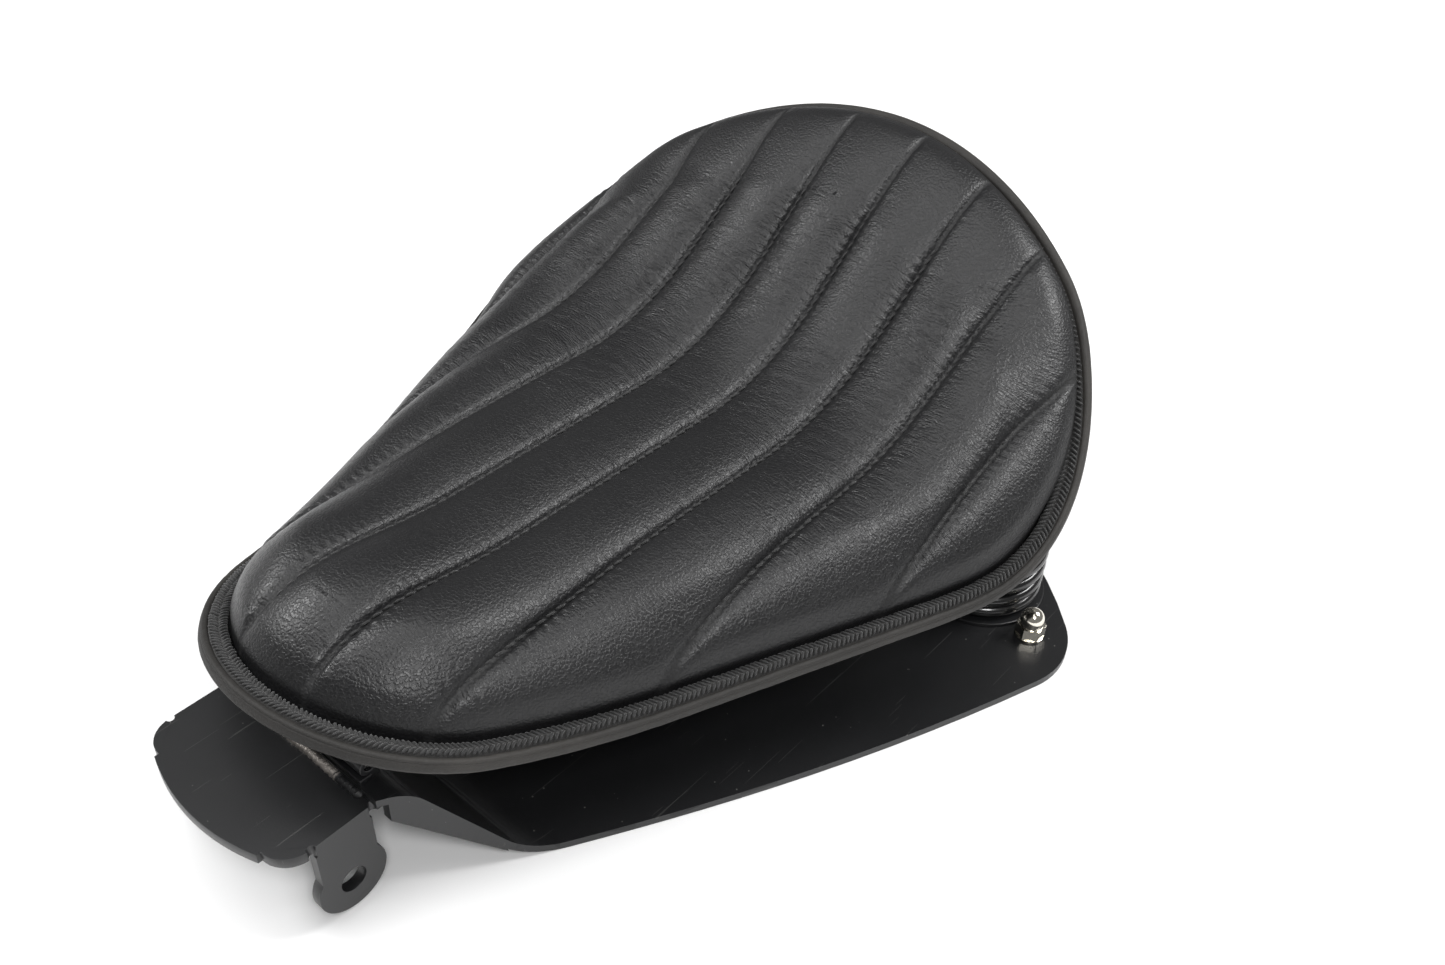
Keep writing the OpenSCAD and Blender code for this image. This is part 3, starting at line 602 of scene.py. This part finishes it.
# Grid of the cushion: points along half the edge, rings up the sides and their depth, columns across the top
EDGE_STEPS, RINGS, RING_DEPTH, COLUMNS = 430, 26, 0.017, 190
SKIN = 0.0001  # clearance between the cushion's foot and the pan
SWELL_FRONT, SWELL_BACK = 0.0012, 0.0058  # swell of the sides at the front, and what the back adds
# Relief of the leather
SEAM_WIDTH, SEAM_DEPTH, SEAM_REACH = 0.0014, 0.0011, 0.0075
PUCKER_HEIGHT, PUCKER_OFFSET, PUCKER_WIDTH = 0.00022, 0.0022, 0.0016
FOLD_HEIGHT, LUMP_HEIGHT = 0.00020, 0.00035
# Seam stitch: half its length in stitch lengths, depth of its ends, rise of its middle, slant, least thread radius
STITCH_HALF, STITCH_DEPTH, STITCH_RISE, STITCH_SLANT, STITCH_LEAST = 0.41, 0.0009, 0.00042, 0.00025, 0.00006
# Overlock rows: inset of the middle, half width and lean of each; then thread radius, least radius and unevenness
OVERLOCK_ROWS = ((0.0038, 0.0015, 0.0012), (0.0064, 0.0014, -0.0012))
OVERLOCK_R, OVERLOCK_LEAST, OVERLOCK_STRAY = 0.0004, 0.00012, (0.00025, 0.0002)
OVERLOCK_FOOT, OVERLOCK_ARCH = 0.0022, 0.0005  # height of a stitch's ends above the pan, and of its middle above them
RIM_STEPS, CORNER_STEPS = 520, 3  # points round half the edge, and segments in each rounded corner of a section
WELD_PITCH, WELD_R = 0.0021, 0.0021  # ripple spacing and radius of the bead
BEVEL_COATED, BEVEL_PLATED = 0.00035, 0.00018
FLOOR_HALF, FLOOR_CELLS, FLOOR_DROP = 6, 9, 0.0002
WORLD_STRENGTH = 0.20
CAMERA_PLACE = (0.1166, 0.2680, 0.3554)
CAMERA_FORWARD = (-0.6016, -0.4881, -0.6324)
CAMERA_ROLL = math.radians(2.685)
CAMERA_LENS, CAMERA_SENSOR = 33.38, 36
# Each light: name, place, the point it faces, its width and height, and its power in watts
LIGHTS = (
    ("key", (-1.05, 0.75, 1.25), (-0.15, 0.0, 0.05), (0.6, 0.6), 19.0),
    ("overhead", (0.35, 0.75, 1.1), (-0.1, 0.0, 0.05), (0.3, 0.3), 9.0),
    ("far_side", (0.38, -1.1, 1.0), (-0.05, 0.0, 0.05), (0.25, 0.25), 11.0),
    ("floor_fill", (0.2, -0.5, 2.4), (0.0, -0.3, 0.0), (1.8, 1.8), 27.0),
)


def cushion_relief(s, x, y, d, run):
    """Rise of the leather above the plain cushion, its strain, and the patchiness of its folds.

    With g the distance to the nearest seam and q = 1 - 2g / pitch, the rise is the channel dome (1 - q^2.3) * puff,
    less a pinch exp(-(g / SEAM_WIDTH)^2) in each seam, with a pucker beside it at each stitch, fine folds in
    proportion to the strain, and broad soft lumps. All of it fades out at the foot, where d is 0. The strain is
    highest beside the seams in the dip between the nose and the back."""
    gap = seam_gap(s, y)
    share = np.clip(1 - 2 * gap / s.seam_pitch, 0, 1)
    fade = 0.25 + 0.75 * smooth(0.002, 0.020, d)
    foot = smooth(0.0, 0.004, d)
    dome = (1 - share**2.3) * s.puff
    pinch = -SEAM_DEPTH * np.exp(-((gap / SEAM_WIDTH) ** 2))
    beat = np.cos(2 * math.pi * run / s.stitch_pitch)
    pucker = PUCKER_HEIGHT * beat * np.exp(-(((gap - PUCKER_OFFSET) / PUCKER_WIDTH) ** 2))
    dip = smooth(0.10, 0.16, -x) * smooth(0.325, 0.27, -x) * smooth(0.001, 0.010, d)
    near = np.exp(-((gap / SEAM_REACH) ** 2))
    strain = np.clip(0.14 + 0.22 * near + dip * (0.55 + 0.6 * near), 0, 1) * foot
    patch = 0.65 + 0.5 * noise(run * 38, y * 60, 5)
    fold = noise(run * 330 + 1.4 * noise(run * 60, y * 90, 3), y * 60, 1)
    lumps = LUMP_HEIGHT * noise(run * 22, y * 26, 9) * smooth(0.004, 0.02, d)
    return foot * (fade * dome + pinch + pucker) + FOLD_HEIGHT * fold * strain * patch + lumps, strain, patch


class SEAT_OT_cushion(bpy.types.Operator):
    """Builds the channelled leather cushion"""

    bl_idname = "seat.cushion"
    bl_label = "Cushion"

    def execute(self, context):
        s = context.scene.seat_sizes
        half, rings, cols = EDGE_STEPS, RINGS, COLUMNS
        path, out = whole_edge(s, half)
        total = len(path)
        # Sides: the rings run from the foot to RING_DEPTH, closer together near the foot
        d = RING_DEPTH * np.linspace(0, 1, rings) ** 1.8
        x = path[None, :, 0] - (s.foot_inset + d[:, None]) * out[None, :, 0]
        y = path[None, :, 1] - (s.foot_inset + d[:, None]) * out[None, :, 1]
        deep = np.broadcast_to(d[:, None], x.shape)
        # Top: rows straight across from one side of the last ring to the other
        rows = np.arange(1, half - 1)
        f = np.linspace(0, 1, cols + 1)[1:-1]
        top_x = np.repeat(x[-1, rows, None], cols - 1, 1)
        top_y = y[-1, rows, None] * (1 - 2 * f)
        top_d = inset_of(s, top_x, top_y) - s.foot_inset
        all_x = np.concatenate([x.ravel(), top_x.ravel()])
        all_y = np.concatenate([y.ravel(), top_y.ravel()])
        all_d = np.concatenate([deep.ravel(), top_d.ravel()])
        height = np.maximum(SKIN, crown(s, all_x, all_d))
        # The sides swell outward over the edge, most at the back: a bump in d that is zero at the foot
        swell = SWELL_FRONT + SWELL_BACK * smooth(0.225, 0.295, -all_x)
        swell = swell * smooth(0.0, 0.0006, all_d) * smooth(RING_DEPTH, 0.001, all_d)
        ring_out = np.tile(out, (rings, 1))
        side_out = np.concatenate([ring_out, np.zeros((top_x.size, 2))])
        points = lift(s, all_x + swell * side_out[:, 0], all_y + swell * side_out[:, 1], height)
        # Faces: the ring grid, then the top rows joined to the last ring
        last = (rings - 1) * total
        inner = rings * total + np.arange(len(rows) * (cols - 1)).reshape(len(rows), cols - 1)
        wide = np.concatenate([last + rows[:, None], inner, last + (total - rows)[:, None]], 1)
        top = np.stack([wide[:-1, :-1], wide[1:, :-1], wide[1:, 1:], wide[:-1, 1:]], -1).reshape(-1, 4)
        fan_front = np.stack([np.full(cols, last), wide[0, :-1], wide[0, 1:]], 1)
        fan_back = np.stack([np.full(cols, last + half - 1), wide[-1, 1:], wide[-1, :-1]], 1)
        side = grid_faces(rings, total, wrap_cols=True)
        faces = [outward(points, side, ring_out), *(outward(points, q) for q in (top, fan_front, fan_back))]
        normal = surface_normals(points, faces)
        run = pan_run(s, all_x)
        moved, strain, patch = cushion_relief(s, all_x, all_y, all_d, run)
        points = points + normal * moved[:, None]
        # Underside: rows across the foot ring, lying on the pan
        start = len(points)
        under = path - s.foot_inset * out
        low = lift(s, under[rows, 0], 0 * rows, SKIN)
        points = np.concatenate([points, low])
        mid = start + np.arange(len(rows))
        left, right = rows, total - rows
        floor_quads = np.concatenate([
            np.stack([left[:-1], left[1:], mid[1:], mid[:-1]], 1),
            np.stack([mid[:-1], mid[1:], right[1:], right[:-1]], 1),
        ])
        ends = np.array([[0, left[0], mid[0]], [0, mid[0], right[0]],
                         [half - 1, mid[-1], left[-1]], [half - 1, right[-1], mid[-1]]])
        if surface_normals(points, [floor_quads])[mid][:, 2].mean() > 0:
            floor_quads, ends = floor_quads[:, ::-1], ends[:, ::-1]
        points[:total] = lift(s, x[0], y[0], SKIN)
        uv = np.concatenate([np.stack([run, all_y], 1), np.stack([pan_run(s, low[:, 0]), low[:, 1]], 1)])
        strain = np.concatenate([strain * np.clip(patch, 0.2, 1.1), np.zeros(len(low))])
        cushion = add_mesh("cushion", points, faces + [floor_quads, ends], finish("leather"), uv=uv,
                           masks={"strain": strain})
        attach(cushion, "seat")
        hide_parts("leather_cover", "foam_pad")
        return {"FINISHED"}


def cushion_line(s, x, y):
    """Points on the cushion in its seams, and the directions square to it, for lines of constant y."""
    def at(px, py):
        d = inset_of(s, px, py) - s.foot_inset
        return lift(s, px, py, np.maximum(SKIN, crown(s, px, d)))

    here = at(x, y)
    step = 0.0006
    normal = np.cross(at(x + step, y) - at(x - step, y), at(x, y + step) - at(x, y - step))
    normal /= np.linalg.norm(normal, axis=-1, keepdims=True)
    return here, normal * np.sign(normal[..., 2:3] + 1e-9)


class SEAT_OT_seam_stitches(bpy.types.Operator):
    """Lays a row of thread stitches in each seam of the cushion"""

    bl_idname = "seat.seam_stitches"
    bl_label = "Seam stitches"

    def execute(self, context):
        s = context.scene.seat_sizes
        path, out = whole_edge(s, 431)
        foot = path - s.foot_inset * out
        v = np.linspace(-1, 1, 7)
        sink = STITCH_RISE * np.cos(math.pi * v / 2) - STITCH_DEPTH
        lines, ups = [], []
        for k in range(-4, 4):
            y = (k + 0.5) * s.seam_pitch
            crossing = np.nonzero(np.diff(np.sign(foot[:, 1] - y)))[0]
            ends = foot[crossing, 0] + (y - foot[crossing, 1]) / (
                foot[crossing + 1, 1] - foot[crossing, 1]) * (foot[crossing + 1, 0] - foot[crossing, 0])
            x = np.linspace(ends.max() - 0.0004, ends.min() + 0.0004, 1200)
            centre, up = cushion_line(s, x, np.full_like(x, y))
            travel = np.concatenate([[0], np.cumsum(np.linalg.norm(np.diff(centre, axis=0), axis=1))])
            count = int((travel[-1] - 0.002) / s.stitch_pitch)
            at = (np.arange(count)[:, None] + 0.6 + STITCH_HALF * v) * s.stitch_pitch
            spot = np.stack([np.interp(at, travel, centre[:, i]) for i in range(3)], -1)
            rise = np.stack([np.interp(at, travel, up[:, i]) for i in range(3)], -1)
            spot = spot + rise * sink[:, None]
            spot[..., 1] += STITCH_SLANT * v
            lines.append(spot)
            ups.append(rise)
        lines, ups = np.concatenate(lines), np.concatenate(ups)
        bulge = s.stitch_r * (1 - v**4) ** 0.5 + STITCH_LEAST
        points, faces = tubes(lines, np.broadcast_to(bulge, lines.shape[:2]), ups, 6)
        stitches = add_mesh("seam_stitches", points, faces, finish("thread"))
        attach(stitches, "seat")
        return {"FINISHED"}


def rim_sweep(s, name, profile, material, wobble):
    """A closed section, (inset, height) pairs above the pan, carried round the edge with a slight uneven rise."""
    path, out = whole_edge(s, RIM_STEPS)
    inset, high = np.array(profile).T
    x = path[:, None, 0] - inset[None] * out[:, None, 0]
    y = path[:, None, 1] - inset[None] * out[:, None, 1]
    h = high[None] + wobble * noise(np.arange(len(path))[:, None] * 0.31 + 0 * x, inset[None] * 500 + 0 * x, 4)
    points = lift(s, x, y, h)
    return add_mesh(name, points, [grid_faces(len(path), len(inset), wrap_rows=True, wrap_cols=True)], material)


def rounded(points, radius):
    """Rounds the corners of a closed section: each corner becomes a quadratic curve between its two sides."""
    p = np.array(points, float)
    before, after = np.roll(p, 1, 0) - p, np.roll(p, -1, 0) - p
    cut = [np.minimum(radius, np.linalg.norm(v, axis=1) * 0.45)[:, None] / np.linalg.norm(v, axis=1)[:, None] * v
           for v in (before, after)]
    t = np.linspace(0, 1, CORNER_STEPS + 1)[None, :, None]
    a, b = (p + cut[0])[:, None], (p + cut[1])[:, None]
    return ((1 - t) ** 2 * a + 2 * t * (1 - t) * p[:, None] + t * t * b).reshape(-1, 2)


class SEAT_OT_binding(bpy.types.Operator):
    """Folds the leather binding round the edge of the pan"""

    bl_idname = "seat.binding"
    bl_label = "Edge binding"

    def execute(self, context):
        s = context.scene.seat_sizes
        w = s.rim_w
        section = [(w, 0.00005), (w, 0.0010), (w - 0.0008, 0.0014), (0.0024, 0.0014), (0.0017, 0.0020),
                   (0.0006, 0.0018), (0.0001, 0.0010), (0.00035, 0.0006), (0.0, 0.0001), (0.0, -0.0020),
                   (0.0007, -0.0031), (w, -0.0031), (w, -0.00205), (0.0024, -0.00205), (0.0024, 0.00005)]
        band = rim_sweep(s, "edge_binding_leather", rounded(section, 0.0004), finish("edge"), wobble=0.00008)
        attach(band, "seat")
        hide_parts("binding_upper", "binding_edge", "binding_lower")
        return {"FINISHED"}


class SEAT_OT_overlock(bpy.types.Operator):
    """Sews two slanted rows of overlock stitches on a felt strip round the edge"""

    bl_idname = "seat.overlock"
    bl_label = "Overlock stitching"

    def execute(self, context):
        s = context.scene.seat_sizes
        w = s.rim_w
        section = [(0.0022, 0.00135), (w - 0.0004, 0.00135), (w - 0.0006, 0.0021), (w / 2 + 0.001, 0.0026),
                   (0.0028, 0.0020)]
        felt = rim_sweep(s, "edge_felt_strip", rounded(section, 0.0004), finish("felt"), wobble=0.00012)
        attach(felt, "seat")
        path, out = whole_edge(s, 2001)
        travel = np.concatenate([[0], np.cumsum(np.linalg.norm(np.diff(path, axis=0), axis=1))])
        whole = travel[-1] + np.linalg.norm(path[-1] - path[0])
        stops = np.append(travel, whole)
        count = int(whole / s.overlock_pitch)
        k = np.arange(count)[:, None]
        u = np.linspace(-1, 1, 6)
        lines, ups = [], []
        for row, (middle, reach, lean) in enumerate(OVERLOCK_ROWS):
            stray = OVERLOCK_STRAY[0] * noise(k * 0.77, 0.0 * k, 7 + row)
            along = np.mod((k + 0.5 * row) * whole / count + lean * u + stray, whole)
            inset = middle + reach * u + OVERLOCK_STRAY[1] * noise(k * 0.9, 0.0 * k + 1, 11 + row)
            px, py, nx, ny = (np.interp(along, stops, np.append(q, q[0])) for q in (*path.T, *out.T))
            x, y = px - inset * nx, py - inset * ny
            arch = OVERLOCK_FOOT + OVERLOCK_ARCH * (1 - u**2) + 0 * x
            lines.append(lift(s, x, y, arch))
            ups.append(lift(s, x, y, arch + 0.001) - lines[-1])
        lines, ups = np.concatenate(lines), np.concatenate(ups)
        radii = np.broadcast_to(OVERLOCK_R * (1 - u**4) ** 0.5 + OVERLOCK_LEAST, lines.shape[:2])
        points, faces = tubes(lines, radii, ups, 5)
        stitches = add_mesh("overlock_stitches", points, faces, finish("thread"))
        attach(stitches, "seat")
        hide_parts("edge_stitching")
        return {"FINISHED"}


class SEAT_OT_springs(bpy.types.Operator):
    """Winds the two coil springs"""

    bl_idname = "seat.springs"
    bl_label = "Coil springs"

    def execute(self, context):
        s = context.scene.seat_sizes
        for name, node, side in (("coil_left", "spring_left", 1), ("coil_right", "spring_right", -1)):
            low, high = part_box(node)
            total = (s.coil_turns + 2) * 2 * math.pi
            a = np.linspace(0, total, 60 * (s.coil_turns + 2) + 1)
            work = np.clip((a - 2 * math.pi) / (total - 4 * math.pi), 0, 1)
            tight = s.wire_d * 1.02
            first = np.clip(a / (2 * math.pi), 0, 1) * tight
            last = np.clip((a - total + 2 * math.pi) / (2 * math.pi), 0, 1) * tight
            rise = (high.z - low.z) - s.wire_d - 2 * tight
            z = low.z + s.wire_d / 2 + first + work * rise + last
            line = np.stack([-s.spring_x + s.coil_r * np.cos(a), side * (s.spring_y + s.coil_r * np.sin(a)), z], 1)
            up = np.broadcast_to(np.array([0.0, 0, 1]), line.shape)
            radii = np.full((1, len(a)), s.wire_d / 2)
            points, faces = tubes(line[None], radii, up[None], 16)
            coil = add_mesh(name, points, faces, finish("gloss"))
            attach(coil, "base")
            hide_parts(node)
            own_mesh(coil)
        return {"FINISHED"}


class SEAT_OT_weld(bpy.types.Operator):
    """Lays the rippled weld bead that holds the front bracket"""

    bl_idname = "seat.weld"
    bl_label = "Weld bead"

    def execute(self, context):
        low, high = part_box("bracket_weld")
        rows, cols = 420, 20
        y = np.linspace(low.y, high.y, rows)[:, None]
        a = np.linspace(0, 2 * math.pi, cols, endpoint=False)[None]
        ripple = np.mod(y / WELD_PITCH + 0.22 * np.cos(a) + 0.3 * noise(y * 200, y * 0, 2), 1)
        size = 1 - 0.16 * ripple**1.6 + 0.10 * noise(y * 420, a + 0 * y, 6) + 0.12 * noise(y * 90, 0 * y, 8)
        taper = np.minimum(1, np.minimum(y - low.y, high.y - y) / 0.002 + 0.05) ** 0.5
        leg = WELD_R * size * taper
        x = low.x + 0.0006 + leg * np.cos(a) * 0.95
        z = low.z + 0.0004 + leg * np.sin(a) * 0.95
        points = np.stack([x, y + 0 * x, z], -1).reshape(-1, 3)
        first = np.arange(cols)[None, ::-1]
        faces = [grid_faces(rows, cols, wrap_cols=True), first, (rows - 1) * cols + np.arange(cols)[None]]
        bare = smooth(0.3, 0.9, 0.7 * noise(y * 70, 0 * y, 12) + 0.45 + 0.5 * np.exp(-((y / 0.022) ** 2)))
        bare = (bare * (0.6 + 0.5 * (1 - ripple)) + 0 * a).ravel()
        bead = add_mesh("rippled_weld", points, faces, finish("weld"), masks={"bare": bare})
        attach(bead, "base")
        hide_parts("bracket_weld")
        return {"FINISHED"}


STEEL = {
    "coat": ("base_plate", "front_bracket", "hinge_lower_leaf", "hinge_upper_leaf", "lower_spring_seats",
             "upper_spring_seats", "spring_perches"),
    "inner_coat": ("seat_pan",),
    "zinc": ("rear_fixing_screws", "lower_spring_studs", "lower_spring_nuts", "upper_spring_studs",
             "upper_spring_nuts", "hinge_bolts", "hinge_pin", "pan_tee_nuts"),
    "nickel": ("rear_dome_nuts", "rear_fixing_washers"),
}


class SEAT_OT_steelwork(bpy.types.Operator):
    """Gives the steel pieces their finishes and softens their edges"""

    bl_idname = "seat.steelwork"
    bl_label = "Steelwork"

    def execute(self, context):
        for name, nodes in STEEL.items():
            for node in nodes:
                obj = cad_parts[node]
                obj.data.materials.clear()
                obj.data.materials.append(finish(name))
                weld = obj.modifiers.new("join", "WELD")
                weld.merge_threshold = 0.00001
                bevel = obj.modifiers.new("edges", "BEVEL")
                bevel.width = BEVEL_COATED if name in ("coat", "inner_coat") else BEVEL_PLATED
                bevel.segments = 2
                bevel.limit_method = "ANGLE"
                bevel.angle_limit = math.radians(32)
        return {"FINISHED"}


class SEAT_OT_stage(bpy.types.Operator):
    """Sets the floor, the lights and the camera"""

    bl_idname = "seat.stage"
    bl_label = "Stage"

    def execute(self, context):
        c = context.scene.seat_colours
        span = np.linspace(-FLOOR_HALF, FLOOR_HALF, FLOOR_CELLS)
        u, v = np.meshgrid(span, span, indexing="ij")
        top = np.stack([u, v, 0 * u + FLOOR_TOP - FLOOR_DROP], -1)
        material = new_material("studio_floor", c.floor, 0.75)[0]
        ground = add_mesh("floor", top, [grid_faces(FLOOR_CELLS, FLOOR_CELLS)], material)
        if ground.data.polygons[0].normal.z < 0:
            ground.data.flip_normals()
        world = bpy.data.worlds.new("studio")
        context.scene.world = world
        context.scene.view_settings.view_transform = "Standard"
        world.use_nodes = True
        sky = world.node_tree.nodes["Background"].inputs
        sky[0].default_value = (1, 1, 1, 1)
        sky[1].default_value = WORLD_STRENGTH
        for name, place, aim, size, power in LIGHTS:
            lamp = bpy.data.lights.new(name, "AREA")
            lamp.shape = "RECTANGLE"
            lamp.size, lamp.size_y = size
            lamp.energy = power
            obj = bpy.data.objects.new(name, lamp)
            obj.location = place
            obj.rotation_euler = (Vector(aim) - Vector(place)).to_track_quat("-Z", "Y").to_euler()
            context.scene.collection.objects.link(obj)
        data = bpy.data.cameras.new("camera")
        data.lens, data.sensor_width = CAMERA_LENS, CAMERA_SENSOR
        data.clip_start, data.clip_end = 0.01, 50
        camera = bpy.data.objects.new("camera", data)
        context.scene.collection.objects.link(camera)
        forward = Vector(CAMERA_FORWARD).normalized()
        right = forward.cross(Vector((0, 0, 1))).normalized()
        up = right.cross(forward)
        cos_r, sin_r = math.cos(CAMERA_ROLL), math.sin(CAMERA_ROLL)
        across, above = cos_r * right + sin_r * up, cos_r * up - sin_r * right
        turn = Matrix((across, above, -forward)).transposed().to_4x4()
        camera.matrix_world = Matrix.Translation(Vector(CAMERA_PLACE)) @ turn
        context.scene.camera = camera
        return {"FINISHED"}


class SEAT_PT_panel(bpy.types.Panel):
    """Lists the seat's pieces"""

    bl_idname = "SEAT_PT_panel"
    bl_label = "Sprung solo seat"
    bl_space_type = "VIEW_3D"
    bl_region_type = "UI"
    bl_category = "Seat"

    def draw(self, context):
        for operator in OPERATORS:
            self.layout.operator(operator.bl_idname)
        for group in (context.scene.seat_sizes, context.scene.seat_colours):
            box = self.layout.box()
            for key in group.__annotations__:
                box.prop(group, key)


OPERATORS = (SEAT_OT_stage, SEAT_OT_cushion, SEAT_OT_seam_stitches, SEAT_OT_binding, SEAT_OT_overlock,
             SEAT_OT_springs, SEAT_OT_weld, SEAT_OT_steelwork)


def register():
    """Registers the classes and the two property groups."""
    for cls in (SeatSizes, SeatColours, *OPERATORS, SEAT_PT_panel):
        bpy.utils.register_class(cls)
    bpy.types.Scene.seat_sizes = bpy.props.PointerProperty(type=SeatSizes)
    bpy.types.Scene.seat_colours = bpy.props.PointerProperty(type=SeatColours)


def unregister():
    """Removes what register added."""
    del bpy.types.Scene.seat_colours, bpy.types.Scene.seat_sizes
    for cls in reversed((SeatSizes, SeatColours, *OPERATORS, SEAT_PT_panel)):
        bpy.utils.unregister_class(cls)


def main():
    """Builds every piece in order."""
    register()
    bpy.ops.seat.stage()
    bpy.ops.seat.cushion()
    bpy.ops.seat.seam_stitches()
    bpy.ops.seat.binding()
    bpy.ops.seat.overlock()
    bpy.ops.seat.springs()
    bpy.ops.seat.weld()
    bpy.ops.seat.steelwork()


if __name__ == "__main__":
    main()
